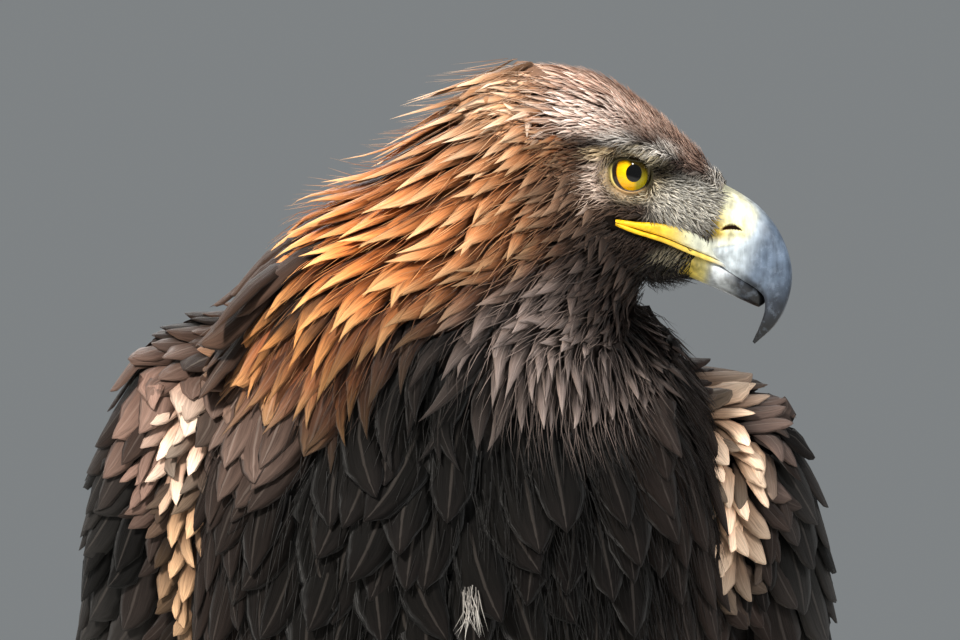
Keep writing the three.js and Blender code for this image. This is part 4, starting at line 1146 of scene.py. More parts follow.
# %% Eye material
def eye_material():
    material, nodes, shader = new_material("golden_eye", 0.12, 0.2, Coat_Weight=0.4, Coat_Roughness=0.02)
    look = nodes.add("SeparateXYZ", nodes.add("Attribute", attribute_name="look", out=1))
    a, b, front = look, look.node.outputs[1], look.node.outputs[2]
    r = nodes.maths("SQRT", nodes.maths("ADD", nodes.maths("MULTIPLY", a, a), nodes.maths("MULTIPLY", b, b)))
    turn = nodes.maths("ARCTAN2", b, a)
    ring = [nodes.maths("MULTIPLY", nodes.maths(wave, turn), 5.0) for wave in ("COSINE", "SINE")]
    around = nodes.add("CombineXYZ", *ring, nodes.maths("MULTIPLY", r, 0.35))
    fibres = nodes.add("TexNoise", named={"Vector": around, "Scale": 2.6, "Detail": 4.0})
    inner = nodes.blend(fibres, opaque(tint(236, 166, 2)), opaque(tint(250, 206, 6)))
    outer = nodes.blend(fibres, opaque(tint(220, 142, 2)), opaque(tint(246, 190, 4)))
    iris = nodes.blend(nodes.step(r, 4.4, 6.4), inner, outer)
    # Painted shade: the brow darkens the front of the iris to olive, darker upwards, and its top to near
    # black
    ahead = nodes.maths("ADD", a, nodes.maths("MULTIPLY", b, 0.35))
    olive_painted_shade = nodes.blend(nodes.step(b, -3.8, 1.8), opaque(tint(156, 140, 18)), opaque(tint(66, 54, 16)))
    front_in_painted_shade = nodes.blend(nodes.step(ahead, -2.9, -0.9), iris, olive_painted_shade)
    shaded = nodes.blend(nodes.step(b, 3.0, 4.8), front_in_painted_shade, opaque(tint(44, 35, 14)))
    rimmed = nodes.blend(nodes.step(r, IRIS_RADIUS - 0.5, IRIS_RADIUS), shaded, opaque(tint(28, 16, 8)))
    off, low = nodes.maths("ADD", a, PUPIL_SET_BACK), nodes.maths("ADD", b, PUPIL_DROP)
    squares = nodes.maths("ADD", nodes.maths("MULTIPLY", off, off), nodes.maths("MULTIPLY", low, low))
    r_pupil = nodes.maths("SQRT", squares)
    edge = nodes.step(r_pupil, PUPIL_RADIUS - 0.12, PUPIL_RADIUS + 0.12)
    seen = nodes.blend(edge, (0.002, 0.002, 0.002, 1), rimmed)
    white = nodes.blend(nodes.step(r, IRIS_RADIUS, IRIS_RADIUS + 0.3), seen, opaque(tint(46, 30, 20)))
    back = nodes.blend(nodes.step(front, 0.05, 0.0), white, opaque(tint(46, 30, 20)))
    nodes.tree.links.new(back, shader.inputs["Base Color"])
    return material


EYE_MATERIAL = eye_material()
for name, side in SIDES.items():
    settle(eyeball(f"eyeball_{name}", side), EYE_MATERIAL, "eye", f"eye_{name}")

# %% [markdown]
# ## Lids and bare skin round the eye
# The rim stands on the globe and runs out over the hollow of the face. Its rings are drawn in the plane
# of the face: the inner ones take their depth from the globe and the outer ones from the skin.


# %% Lids
def side_of_head(x, z):
    """How far the skin of the head stands aside at x and z."""
    top, bottom, half = columns(HEAD, x)
    high = np.clip(np.abs(z - (top + bottom) / 2) / ((top - bottom) / 2), 0, 1) ** (1 / 0.9)
    return face_relief(x, half * np.sqrt(1 - high**2) ** 0.9, z)


# Rings outwards: step, share of the opening, share of the skin in the depth, height over that, dark to pale
LID_RINGS = [
    [0, 0.92, 0, -0.3, 0], [1, 0.97, 0, 0.1, 0], [2, 1.0, 0, 0.5, 0.3], [3, 1.04, 0, 0.85, 1],
    [4, 1.09, 0.05, 0.9, 1.0], [5, 1.16, 0.3, 0.6, 0.8], [6, 1.26, 0.6, 0.4, 0.5],
    [7, 1.45, 0.9, 0.2, 0.3], [8, 1.75, 1.0, -0.9, 0.1],
]
LID_THICK = 1.0
LID_REACH = 5.5  # the rim stands at most this far outside the globe


def lids(name, side):
    ring, turn = np.meshgrid(np.linspace(0, 8, 41), np.arange(0, 360, 3), indexing="ij")
    share, skinny, rise, pale = columns(LID_RINGS, ring)
    c, s = cos_sin(turn)
    low_top = 1 - (0.24 + 0.12 * c) * np.clip(s, 0, 1) ** 2
    corner = 1 + 0.24 * np.clip(s, 0, 1) * np.clip(-c, 0, 1)
    behind = 1 + 0.1 * ease(share, 1.1, 1.3) * np.clip(-c, 0, 1)
    x = OPENING["x"] + OPENING["half_length"] * share * behind * corner * c
    z = OPENING["z"] + OPENING["half_height"] * share * s * low_top * corner
    ball = GLOBE[1] + np.sqrt(np.clip(EYE_RADIUS**2 - (x - GLOBE[0]) ** 2 - z**2, 4, None))
    skin_side = np.abs(side_of_head(x, z)) - 1.2
    # Behind and below the eye a low shelf fills the groove between the rim and the face
    shelf = 1.1 * ease(share, 1.14, 1.26) * (1 - ease(share, 1.45, 1.7))
    shelf = shelf * np.clip(0.4 - c, 0, 1) * (1 - ease(s, 0.2, 0.7))
    y = mix(ball, np.minimum(skin_side, ball + LID_REACH), skinny) + rise + shelf
    wrinkle = 0.12 * np.sin(np.radians(turn) * 34 + 5 * share) * ease(share, 1.1, 1.3)
    upper = vec(x, side * (y + wrinkle), z)
    under = vec(x, side * (y - LID_THICK), z)
    rim = mix(tint(216, 200, 118), tint(214, 174, 122), ease(-s, 0.3, 0.9)[..., None])
    colour = mix(tint(34, 27, 20), rim, pale[..., None])
    # Painted shade: the brow darkens the top and the front of the rim, and the outer rings half way
    shade = np.maximum(0.95 * ease(s, 0.1, 0.6), 0.95 * ease(c, 0.3, 0.8))
    colour = mix(colour, tint(40, 34, 18), shade[..., None])
    shade = np.maximum(shade, 0.5 * ease(share, 1.5, 1.75))
    outer = mix(tint(206, 178, 140), tint(70, 60, 44), shade[..., None])
    colour = mix(colour, outer, ease(share, 1.12, 1.22)[..., None])
    points = np.concatenate([upper, under[::-1]], 0)
    colour = np.concatenate([colour, colour[::-1]], 0)
    rows, cols = points.shape[:2]
    i, j = np.meshgrid(np.arange(rows), np.arange(cols), indexing="ij")
    a, b = i * cols + j, i * cols + (j + 1) % cols
    faces = np.stack([a, b, (b + cols) % (rows * cols), (a + cols) % (rows * cols)], -1).reshape(-1, 4)
    return closed_piece(name, in_head(points), [faces], coat_of(colour))


# %% [markdown]
# ## Skin that isn't feathered
# Lids, cere and the edges of the mouth are waxy skin. One group gives the lids and the edges of the mouth
# their pores and soft mottling.

# %% The waxy skin group and its material
g, given, result = new_group(
    "waxy", {"Pores": (FLOAT, 900.0), "Mottling": (FLOAT, 0.3)}, {"Colour": COLOUR, "Height": FLOAT}
)
coat = g.add("Attribute", attribute_name="coat")
place = g.add("TexCoord", out=3)
mottle = g.add("TexNoise", place, named={"Scale": 320.0, "Detail": 3.0})
pores = g.add("TexVoronoi", place, named={"Scale": given["Pores"]})
swing = g.maths("MULTIPLY", g.maths("SUBTRACT", mottle, 0.5), g.maths("MULTIPLY", given["Mottling"], 2.0))
scaled = g.add("VectorMath", coat, operation="SCALE")
g.tree.links.new(g.maths("ADD", swing, 1.0), scaled.node.inputs["Scale"])
g.tree.links.new(scaled, result["Colour"])
g.tree.links.new(g.maths("ADD", pores, mottle), result["Height"])
WAXY, nodes, shader = new_material("waxy_skin", 0.42)
dress(nodes, shader, "waxy", 0.35, Mottling=0.5)
for name, side in SIDES.items():
    settle(lids(f"lids_{name}", side), WAXY, "head")

# %% [markdown]
# ## Bill
# The upper bill is lofted through the solid's cross-sections on a much finer grid, so that the nostril
# can be carved into it and each corner can carry its colour: cream and yellow cere, pale blue horn, slate
# hook.

# %% Sizes of the bill
# Along the bill: step, ridge x and z, cutting edge x and z, half width
UPPER_BILL = [
    [0, 27, 0.6, 14, -22.5, 12.4], [1, 34.4, -3.6, 24, -27.4, 12], [2, 40.8, -7.2, 31, -31.2, 11.2],
    [3, 47.8, -12.4, 36.5, -35.3, 10], [4, 54, -20.2, 41.6, -38.6, 8.4], [5, 58, -29.6, 46, -41.4, 6.6],
    [6, 59, -38.6, 49, -44.6, 4.9], [7, 56.9, -47.6, 49.2, -49.6, 3.5], [8, 52.6, -55, 47.6, -54.6, 2.1],
    [9, 45.6, -61.4, 44.8, -60.6, 0.5],
]
# Half a cross-section: place, height from the cutting edge to the ridge, and share of the half width
BILL_SHAPE = [[0, 1, 0], [1, 0.93, 0.5], [2, 0.72, 0.82], [3, 0.42, 1], [4, 0.14, 0.97], [5, 0, 0.8]]
# Along the lower bill: x, cutting edge, keel, half width
LOWER_BILL = [
    [10, -23.5, -34, 11.2], [20, -26.7, -36.6, 10.8], [28, -30.1, -39.8, 9.8], [35, -34.3, -42.8, 8.4],
    [41, -37, -45.6, 6.6], [46, -40.4, -47.8, 4.4], [48.6, -43, -48.6, 2.8],
]
LOWER_SHAPE = [[0, 0, 0.82], [1, 0.12, 0.97], [2, 0.4, 1], [3, 0.8, 0.66], [4, 0.97, 0.28], [5, 1, 0]]
NOSTRIL = {"x": 37.7, "z": -20.2, "half_length": 4.3, "half_height": 0.95, "slope": math.radians(2)}
# The front edge of the cere: height, x
CERE_FRONT = [[-27, 31], [-25, 40.5], [-22, 43.6], [-18, 45], [-14, 45.8], [-8, 42]]


# %% Upper bill
def nostril_depth(x, z):
    """How deep the nostril is: a slit that arches up and curls down at its front."""
    dx, dz = x - NOSTRIL["x"], z - NOSTRIL["z"]
    c, s = math.cos(NOSTRIL["slope"]), math.sin(NOSTRIL["slope"])
    a, b = (dx * c + dz * s) / NOSTRIL["half_length"], (dz * c - dx * s) / NOSTRIL["half_height"]
    b = b + 1.5 * a**2 - 0.9 + 0.35 * a
    far = np.sqrt(a**2 + b**2)
    bulge = 1 - ease(np.hypot((dx - 0.4) / 3.2, (dz + 1.3) / 1.4), 0.1, 1.2)
    rim = ease(far, 0.95, 1.15) * (1 - ease(far, 1.15, 1.9))
    return 3.2 * (1 - ease(far, 0.6, 1.0)) - 0.35 * rim - 0.7 * bulge


def bill_colours(x, z, step, high, deep):
    cere = 1 - ease(x - columns(CERE_FRONT, np.clip(z, -27, -8))[0], -2.2, 2.6)
    horn = mix(tint(188, 198, 204), tint(88, 101, 118), ease(step + 0.7 * high, 2.9, 4.6)[..., None])
    horn = mix(horn, tint(42, 49, 60), ease(step, 4.8, 6.8)[..., None])
    horn = mix(horn, tint(12, 14, 17), ease(step, 6.2, 8.2)[..., None])
    edge = (1 - ease(high, 0.02, 0.16)) * ease(step, 3.2, 4.4)
    horn = mix(horn, tint(34, 36, 40), 0.8 * edge[..., None])
    wax = mix(tint(216, 180, 44), tint(228, 222, 176), ease(x + 0.25 * (z + 20), 31.5, 37.5)[..., None])
    wax = mix(wax, tint(206, 202, 170), ease(z, -17, -8)[..., None])
    wax = mix(wax, tint(214, 216, 200), ease(-z, 21.5, 25)[..., None])
    colour = mix(horn, wax, cere[..., None])
    inner = ease(deep, 0.3, 1.6)[..., None]
    return mix(colour, tint(70, 38, 18), inner), cere


def upper_bill():
    step, at = np.meshgrid(np.linspace(-0.3, 9, 230), np.linspace(-5, 5, 161), indexing="ij")
    top_x, top_z, edge_x, edge_z, half = columns(UPPER_BILL, step)
    high, wide = columns(BILL_SHAPE, np.abs(at))
    wide = wide * np.sign(at)
    x, z = mix(edge_x, top_x, high), mix(edge_z, top_z, high)
    y = wide * np.maximum(half, 0.4)
    deep = np.where(np.abs(wide) > 0.3, nostril_depth(x, z), 0)
    colour, cere = bill_colours(x, z, step, high, deep)
    y = y + np.sign(y) * (0.35 * cere * ease(np.abs(wide), 0, 0.4) - deep)
    palate = np.linspace(-1, 1, 9)[1:-1]
    under_y = (y[:, -1:] + y[:, :1]) / 2 - palate * (y[:, -1:] - y[:, :1]) / 2
    under_x = np.repeat(x[:, :1], 7, 1)
    under_z = z[:, :1] + (1 - palate**2) * 0.9 * np.minimum(half[:, :1] / 6, 1)
    dark = mix(tint(120, 62, 34), tint(20, 20, 22), ease(np.repeat(step[:, :1], 7, 1), 3.6, 4.6)[..., None])
    points = vec(*(np.concatenate(pair, 1) for pair in ((x, under_x), (y, under_y), (z, under_z))))
    colour = np.concatenate([colour, dark], 1)
    return closed_piece("upper_bill", in_head(points), closed_faces(*points.shape[:2]), coat_of(colour))


# %% Lower bill
def lower_bill():
    x, at = np.meshgrid(np.linspace(8, 49.6, 110), np.linspace(-5, 5, 49), indexing="ij")
    edge, keel, half = columns(LOWER_BILL, x)
    down, wide = columns(LOWER_SHAPE, 5 - np.abs(at))
    wide = wide * np.sign(at)
    tip = np.sqrt(np.clip((49.6 - x) / 2.5 + 0.02, 0, 1))
    z = mix(edge + 0.3, keel, down * mix(0.3, 1, tip))
    y = wide * np.maximum(half, 1) * mix(0.35, 1, tip)
    under_z = np.maximum(z[:, :1] - 1.2, keel[:, :1] + 0.4)
    horn = mix(tint(196, 202, 205), tint(38, 41, 47), ease(x - 2 * down, 31, 40)[..., None])
    horn = mix(horn, tint(16, 17, 19), ease(x, 40, 47)[..., None])
    wax = mix(tint(226, 196, 66), tint(226, 214, 140), ease(x, 20, 29)[..., None])
    colour = mix(wax, horn, ease(x + 2 * (down - 0.5), 27, 31)[..., None])
    mouth = np.linspace(-1, 1, 7)[1:-1]
    mouth_y = (y[:, -1:] + y[:, :1]) / 2 - mouth * (y[:, -1:] - y[:, :1]) / 2
    mouth_x, mouth_z = np.repeat(x[:, :1], 5, 1), under_z + 0 * mouth
    inside = mix(tint(150, 76, 36), tint(28, 29, 32), ease(mouth_x, 38, 44)[..., None])
    colour = np.concatenate([colour, inside], 1)
    points = vec(*(np.concatenate(pair, 1) for pair in ((x, mouth_x), (y, mouth_y), (z, mouth_z))))
    return closed_piece("lower_bill", in_head(points), closed_faces(*points.shape[:2]), coat_of(colour))


# %% [markdown]
# ## Edges of the mouth
# Behind the horn of the bill the mouth is edged by soft yellow skin that runs back below the eye. Each
# edge is a flattened tube that follows the line of the mouth and gets thin towards both ends.

# %% Edges of the mouth
# Along the mouth: x, height of its line, how far aside, height of the upper and of the lower yellow edge
MOUTH = [
    [-3.2, -18, 31.6, 1.0, 0.9], [3, -19.9, 29, 2.2, 1.5], [13.5, -23.1, 22.6, 4.6, 1.8],
    [22.7, -27, 14.9, 6.0, 1.9], [29, -29.6, 10.2, 5.0, 1.7], [35, -32.5, 7.6, 2.6, 1.2],
    [40, -35.8, 6.2, 1, 0.5],
]
MOUTH_GAP = 0.18


def mouth_edge(name, side, below):
    x, turn = np.meshgrid(np.linspace(-3.4, 40, 100), np.arange(0, 360, 15), indexing="ij")
    line, aside, above, under = columns(MOUTH, x)
    tall = under if below else above
    way = -1 if below else 1
    near_y, near_z = aside + 1.3 + 0.9 * (1 - ease(x, -3, 7)), line + way * MOUTH_GAP
    far_z = near_z + way * tall
    skin_y = np.abs(side_of_head(x, far_z)) - 0.4
    far_y = aside + 0.9 if below else mix(aside + 1.2, skin_y, ease(tall, 0.6, 4))
    pointed = np.clip((x + 3.5) / 2.5, 0.05, 1) ** 0.5 * (1 - 0.8 * ease(x, 24, 38))
    thick = np.minimum(1.5, 0.55 * tall) * pointed
    c, s = cos_sin(turn)
    long_y, long_z = (far_y - near_y) / 2, (far_z - near_z) / 2
    size = np.sqrt(long_y**2 + long_z**2)
    shape = np.sign(c) * np.abs(c) ** 0.8
    y = (near_y + far_y) / 2 + long_y * shape + np.abs(long_z) / size * thick * s
    z = (near_z + far_z) / 2 + long_z * shape - way * long_y / size * thick * s
    fade = ease(x, 8, 26)[..., None]
    colour = mix(tint(250, 196, 22), tint(238, 224, 130), fade * (0.55 if below else 1.0))
    colour = mix(colour, tint(224, 226, 208), (0.0 if below else 0.9) * ease(x, 16, 26)[..., None])
    colour = mix(colour, tint(186, 190, 190), ease(x, 28, 36)[..., None])
    colour = mix(colour, tint(214, 142, 20), 0.5 * ease(-s, 0.2, 0.9)[..., None])
    return closed_piece(name, in_head(vec(x, side * y, z)), closed_faces(*x.shape), coat_of(colour))


# %% [markdown]
# ## Horn
# Bill and claws are horn: lines drawn along its growth, soft clouds, and paler scuffs where it is worn.

# %% The horn group and its material
g, given, result = new_group(
    "horn", {"Streaks": (FLOAT, 0.25), "Scuffs": (FLOAT, 0.9)}, {"Colour": COLOUR, "Height": FLOAT}
)
coat = g.add("Attribute", attribute_name="coat")
place = g.add("TexCoord", out=3)
drawn = g.add("VectorMath", place, (420.0, 420.0, 90.0), operation="MULTIPLY")
lines = g.add("TexNoise", drawn, named={"Scale": 1.0, "Detail": 4.0})
clouds = g.add("TexNoise", place, named={"Scale": 190.0, "Detail": 5.0})
both = g.maths("ADD", g.maths("MULTIPLY", lines, 0.5), g.maths("MULTIPLY", clouds, 0.5))
swing = g.maths("MULTIPLY", g.maths("SUBTRACT", both, 0.5), g.maths("MULTIPLY", given["Streaks"], 4.0))
scaled = g.add("VectorMath", coat, operation="SCALE")
g.tree.links.new(g.maths("ADD", swing, 1.0), scaled.node.inputs["Scale"])
scuffs = g.add("TexNoise", place, named={"Scale": 260.0, "Detail": 6.0, "Roughness": 0.7})
lighter = g.add("VectorMath", scaled, (0.05, 0.06, 0.075), operation="ADD")
worn = g.maths("MULTIPLY", g.step(scuffs, 0.5, 0.66), given["Scuffs"])
g.tree.links.new(g.blend(worn, scaled, lighter), result["Colour"])
g.tree.links.new(both, result["Height"])
HORN, nodes, shader = new_material("horn", 0.38, 0.35, Coat_Weight=0.12, Coat_Roughness=0.2)
dress(nodes, shader, "horn", 0.25, Streaks=0.85)

# %% Both halves of the bill and the edges of the mouth
settle(upper_bill(), HORN, "bill", "bill_upper")
settle(lower_bill(), HORN, "bill", "bill_lower")
for name, side in SIDES.items():
    settle(mouth_edge(f"upper_mouth_edge_{name}", side, False), WAXY, "bill")
    settle(mouth_edge(f"lower_mouth_edge_{name}", side, True), WAXY, "bill")

# %% [markdown]
# ## Wing coverts
# The folded wing is covered by feathers that overlap like tiles on a roof. They are small at the
# shoulder, smallest in the pale patches of the wing's front edge, and larger towards the long flight
# feathers.


# %% Coverts
WING_TOP = {"right": -23, "left": -8}  # where the coverts begin, down the axis


def covert_gap(points):
    """Small along the wing's front edge and the shoulder, larger lower down."""
    lower = ease(-points[..., 2], -540, -330)
    front = ease(-points[..., 1], 40, 90) * (1 - lower)
    gap = mix(9.5, 15, lower) - 3 * front
    for patch, small in (("right_edge_high", 4.3), ("right_edge_low", 4.8), ("left_edge", 5.4)):
        middle, size, *_ = WING_PATCHES[patch]
        gap = mix(gap, small, ease(weigh(points, middle, np.array(size) * [1.3, 1.3, 1.1]), 0, 0.4))
    return gap


def wing_lie(side):
    """Down the wing, and over the shoulder outwards first."""
    def lie(points):
        high = ease(points[..., 2:3], 538, 558)
        return mix(DOWN_BACK, np.array([side * 0.35, 0.25, -0.85]), high)

    return lie


for name, surface in wings.items():
    dice = np.random.default_rng(14)
    u, v = scatter(surface, (WING_TOP[name], 245), (0.0, 1.0), covert_gap, dice, 26000)
    gap = covert_gap(surface.point(u, v))
    small = ease(-gap, -7, -5)
    outline = LEAF if name == "right" else BLUNT
    coverts = grow(surface, u, v, gap * (3.6 + 1.1 * small), gap * (1.75 - 0.3 * small), outline, dice,
                   lifts=(-5, 1.6), corners=5, spread=7 + 6 * small, bend=4 + 3 * small, ragged=0.11,
                   lie=wing_lie(SIDES[name]), chart=WING_CHART)
    shades = tones(coverts, dark_root_and_shade=0.25, from_tip=0.4, uneven=0.5, freckled=0.3, on_wing=True)
    plume(f"coverts_{name}", [shades], COVERTS, "wing")


# %% [markdown]
# ## Feathers of the shoulders
# Scapulars close the gap between the back and each wing. On the right shoulder broad feathers with pale
# shafts lie between breast and wing, and behind the neck dark feathers of the mantle stand up a little.
# All of them are made like the coverts, with other places, sizes and lifts.


# %% Scapulars, shoulder and mantle
def inner_wing(points):
    x, y, z = np.moveaxis(points, -1, 0)
    return (np.abs(x) < 95) & ((z > 552) | (y > 10))


def behind_neck(points):
    return points[..., 2] > BREAST_UP_TO


def right_shoulder(points):
    middle, size, *_ = BODY_PATCHES["right_shoulder"]
    return weigh(points - np.array([0, 0, 14]), middle, size) > 0.3


for name, surface in wings.items():
    dice = np.random.default_rng(18)
    u, v = scatter(surface, (WING_TOP[name], 60), (0.0, 1.0), 8.5, dice, 16000, inner_wing)
    lifts = (-4, 0.5) if name == "right" else (-6, -1)
    shoulder = grow(surface, u, v, 30, 15.5, LEAF, dice, lifts=lifts, corners=5, spread=6,
                    lie=wing_lie(SIDES[name]), chart=WING_CHART)
    plume(f"scapulars_{name}", [tones(shoulder, from_tip=0.5, uneven=0.3, on_wing=True)], COVERTS, "wing")
dice = np.random.default_rng(19)
u, v = scatter(body, (1.8, 7), (20, 120), 11.0, dice, 8000, right_shoulder)
broad = grow(body, u, v, 44, 23, LEAF, dice, lifts=(-3, 3.5), corners=5, spread=6, chart=BODY_CHART)
u, v = scatter(body, (1.6, 3.6), (84, 200), 9.0, dice, 8000, behind_neck)
mantle = grow(body, u, v, 38, 17, LEAF, dice, lifts=(0, 12), corners=5, spread=6, chart=BODY_CHART)
brown = tones(mantle, colour=tint(52, 38, 31), tip=tint(74, 56, 46), uneven=0.2)
plume("shoulder_feathers", [tones(broad, from_tip=0.6, uneven=0.15), brown], BODY, "body")

# %% [markdown]
# ## Flight feathers
# The secondaries lie over one another down the wing, and the primaries make its point. There are only
# seventeen of them in each wing, so each is placed by its number and not scattered.

# %% Secondaries and primaries
QUILL = [
    [0, 0.5], [0.15, 0.75], [0.3, 0.9], [0.45, 0.98], [0.6, 1], [0.72, 0.98], [0.82, 0.9], [0.9, 0.74],
    [0.95, 0.55], [0.985, 0.3], [1, 0.06],
]
SECONDARIES, SECONDARY_LENGTH = 12, 228
SECONDARY_ROOT, PRIMARY_ROOT = 200.0, 290.0  # down the axis, under the coverts and the secondaries
PRIMARY_TIPS = [0, 18, 42, 74, 112]  # how much shorter each is than the longest
PRIMARY_CUT = 1.06  # the space down to the wing's tip is divided by this
for name, surface in wings.items():
    dice = np.random.default_rng(15)
    batches = []
    for i in range(SECONDARIES):
        across = mix(0.22, 1.0, (i + 0.5) / SECONDARIES)
        lifts = (-17, -2 - 0.9 * (i % 2))
        length = SECONDARY_LENGTH - 4 * i
        batch = grow(surface, [SECONDARY_ROOT], [across], length, 30, QUILL, dice, lifts=lifts, corners=9,
                     spread=0.6, bend=0.3, ragged=0.015, camber=0.1, thick=0.9, chart=SECONDARY_CHART)
        shades = tones(batch, colour=tint(58, 46, 40), tip=tint(66, 54, 47), shaft=0.35, dark_root_and_shade=0.8)
        batches.append(shades)
    for i, short in enumerate(PRIMARY_TIPS):
        across = mix(0.18, 0.8, i / (len(PRIMARY_TIPS) - 1))
        length = (WING_LENGTH - short - PRIMARY_ROOT) / PRIMARY_CUT
        lifts = (-11 - 1.7 * i, -2 - 1.7 * i)
        batch = grow(surface, [PRIMARY_ROOT], [across], length, 30, QUILL, dice, lifts=lifts, corners=9,
                     spread=0.1, bend=0.1, ragged=0.01, camber=0.1, thick=1.0, chart=PRIMARY_CHART)
        shades = tones(batch, colour=tint(44, 36, 32), tip=tint(38, 31, 28), shaft=0.4, dark_root_and_shade=0.8)
        batches.append(shades)
    plume(f"flight_feathers_{name}", batches, FLIGHT, "wing", f"wing_{name}")

# %% [markdown]
# ## Tail
# Twelve broad feathers spread like a fan, the middle pair on top. Short feathers cover their roots above
# and below, in offset rows like tiles.


# %% Roots in offset rows
def rows_of_roots(surface, us, vs, gap, dice, jitter=0.25):
    """One row for each u, with roots a gap in millimetres apart along it."""
    found_u, found_v = [], []
    for i, at in enumerate(us):
        fine = np.linspace(*vs, 200)
        points = surface.point(np.full(200, at), fine)
        walked = np.concatenate([[0], np.cumsum(np.sqrt((np.diff(points, axis=0) ** 2).sum(1)))])
        count = max(int(walked[-1] / gap), 2)
        places = np.arange(count) + 0.5 * (i % 2) + dice.uniform(-jitter, jitter, count)
        found_v.append(np.interp(places / count * walked[-1], walked, fine))
        spread = dice.uniform(-jitter, jitter, count) * (us[1] - us[0])
        found_u.append(np.full(count, at) + spread)
    return np.concatenate(found_u), np.concatenate(found_v)


# %% Tail feathers
TAIL_MIDDLE, TAIL_LIFT, TAIL_STEP = -14, 4, 1.8


def tail_point(q, x):
    q, x = np.broadcast_arrays(q, x)
    return along(BODY_LENGTH + q, x, TAIL_MIDDLE + TAIL_LIFT * q / TAIL_LENGTH)


tail = Surface(tail_point, lambda q: along(BODY_LENGTH + q, 0, TAIL_MIDDLE - 60), (1, 1))
dice = np.random.default_rng(16)
batches = []
for pair in range(5, -1, -1):
    for side in (-1, 1):
        share = (pair + 0.35) / 6
        turn = side * math.degrees(math.atan2(share * 30, TAIL_LENGTH))
        length = TAIL_LENGTH - 24 * share**2 - 8
        lifts = (2 - TAIL_STEP * pair, 5 - TAIL_STEP * pair)
        batch = grow(tail, [6.0], [side * share * 14], length, 43, QUILL, dice, lifts=lifts, corners=9,
                     turn=-turn, spread=0.1, bend=0.1, ragged=0.01, camber=0.06, thick=0.9, chart=TAIL_CHART)
        batches.append(tones(batch, colour=tint(92, 76, 64), tip=tint(40, 32, 28), shaft=0.4, from_tip=0.55))
for above in (1, -1):
    u, v = rows_of_roots(tail, np.arange(2, 60, 13), (-30, 30), 14, dice)
    lifts = (4, 13) if above > 0 else (-14, -20)
    batch = grow(tail, u, v, 62, 24, ROUND, dice, lifts=lifts, corners=5, chart=TAIL_CHART)
    batches.append(tones(batch))
plume("tail_feathers", batches, FLIGHT, "wing", "tail")

# %% [markdown]
# ## Trousers and feathered shanks
# Long loose feathers hang round the thigh down to the ankle, and short ones cover the shank to the toes.
# Both grow in offset rows round the leg, so that each feather covers the gap between two others.

# %% Leg feathers
for name in SIDES:
    dice = np.random.default_rng(17)
    u, v = rows_of_roots(thighs[name], np.arange(-366, -136, 9.5), (0, 360), 8, dice)
    trousers = grow(thighs[name], u, v, 44, 12.5, LANCE, dice, lifts=(-1.5, 6), corners=5, spread=6)
    u, v = rows_of_roots(shanks[name], np.arange(-0.12, 1.04, 0.04), (0, 360), 3.0, dice)
    socks = grow(shanks[name], u, v, 15, 3.8, LANCE[::2], dice, lifts=(-0.5, 2.4), corners=3, spread=8)
    plume(f"leg_feathers_{name}", [tones(trousers), tones(socks)], BODY, "leg")

# %% [markdown]
# ## Feet
# Four toes and the pad under the shank melt into one foot, as the skin did. Small raised scales are
# spread over it by a Geometry Nodes tree, and broad ones cross the top of each toe before its claw. The
# claws are cones of horn, bent along a circle.

# %% Sizes of the toes
# Turn outwards from straight ahead in degrees, length to the claw, radius, and radius of the claw's bend
TOES = {
    "inner": (-32, 50, 8.6, 32),
    "middle": (2, 64, 8.4, 30),
    "outer": (36, 54, 7.8, 26),
    "hind": (176, 38, 9, 39),
}
TOE_FLAT = 0.8
CLAW_RISE, CLAW_FALL = math.radians(18), math.radians(-52)
CLAW_CLEAR = 0.8
UP = np.array([0, 0, 1.0])


def toe_way(side, turn):
    return np.array([side * math.sin(math.radians(turn)), -math.cos(math.radians(turn)), 0])


def toe_radius(t, radius):
    """Swells at each pad of the toe."""
    return radius * (mix(1.08, 0.76, t) + 0.09 * np.sin(t * np.pi * 5.2 + 0.6))


def claw_height(claw):
    return CLAW_CLEAR + claw * (math.cos(CLAW_RISE) - math.cos(CLAW_FALL))


def toe_ring(side, toe, t, angle, extra=0.0):
    """Points of a toe's skin, angle from its outer side over the top."""
    turn, length, radius, claw = toe
    thick = toe_radius(t, radius)
    resting = thick * 0.92 - TOE_FLAT
    high = resting + (claw_height(claw) - resting - 1) * ease(t, 0.68, 1)
    way = toe_way(side, turn)
    across = np.cross(way, UP)
    round_end = np.sqrt(np.clip((1.03 - t) / 0.08, 0.02, 1))
    c, s = (thick + extra) * np.cos(angle) * round_end, (thick + extra) * np.sin(angle) * round_end
    middle = FOOT * [side, 1, 1] + way * (length * t)[..., None] + UP * high[..., None]
    return middle + across * c[..., None] + UP * 0.92 * s[..., None]


def foot_tubes(side):
    around = np.linspace(0, 2 * np.pi, 32, endpoint=False)
    t, angle = np.meshgrid(np.linspace(0, 1.02, 40), around, indexing="ij")
    toes = [toe_ring(side, toe, t, angle) for toe in TOES.values()]
    thick = mix(15, 12, t) + 1.5 * np.sin(np.pi * np.clip(t, 0, 1))
    pad = vec(thick * np.cos(angle), 3 * t + thick * np.sin(angle), mix(3, FOOT_TOP + 2, t))
    return toes + [pad + FOOT * [side, 1, 1]]


# %% Foot skin, kept above the floor
ABOVE_FLOOR = 0.02


def flat_on_floor(piece):
    points = points_of(piece)
    points[:, 2] = np.maximum(points[:, 2], ABOVE_FLOOR)
    piece.data.vertices.foreach_set("co", ((points + SHIFT) * MM).ravel())
    piece.data.update()


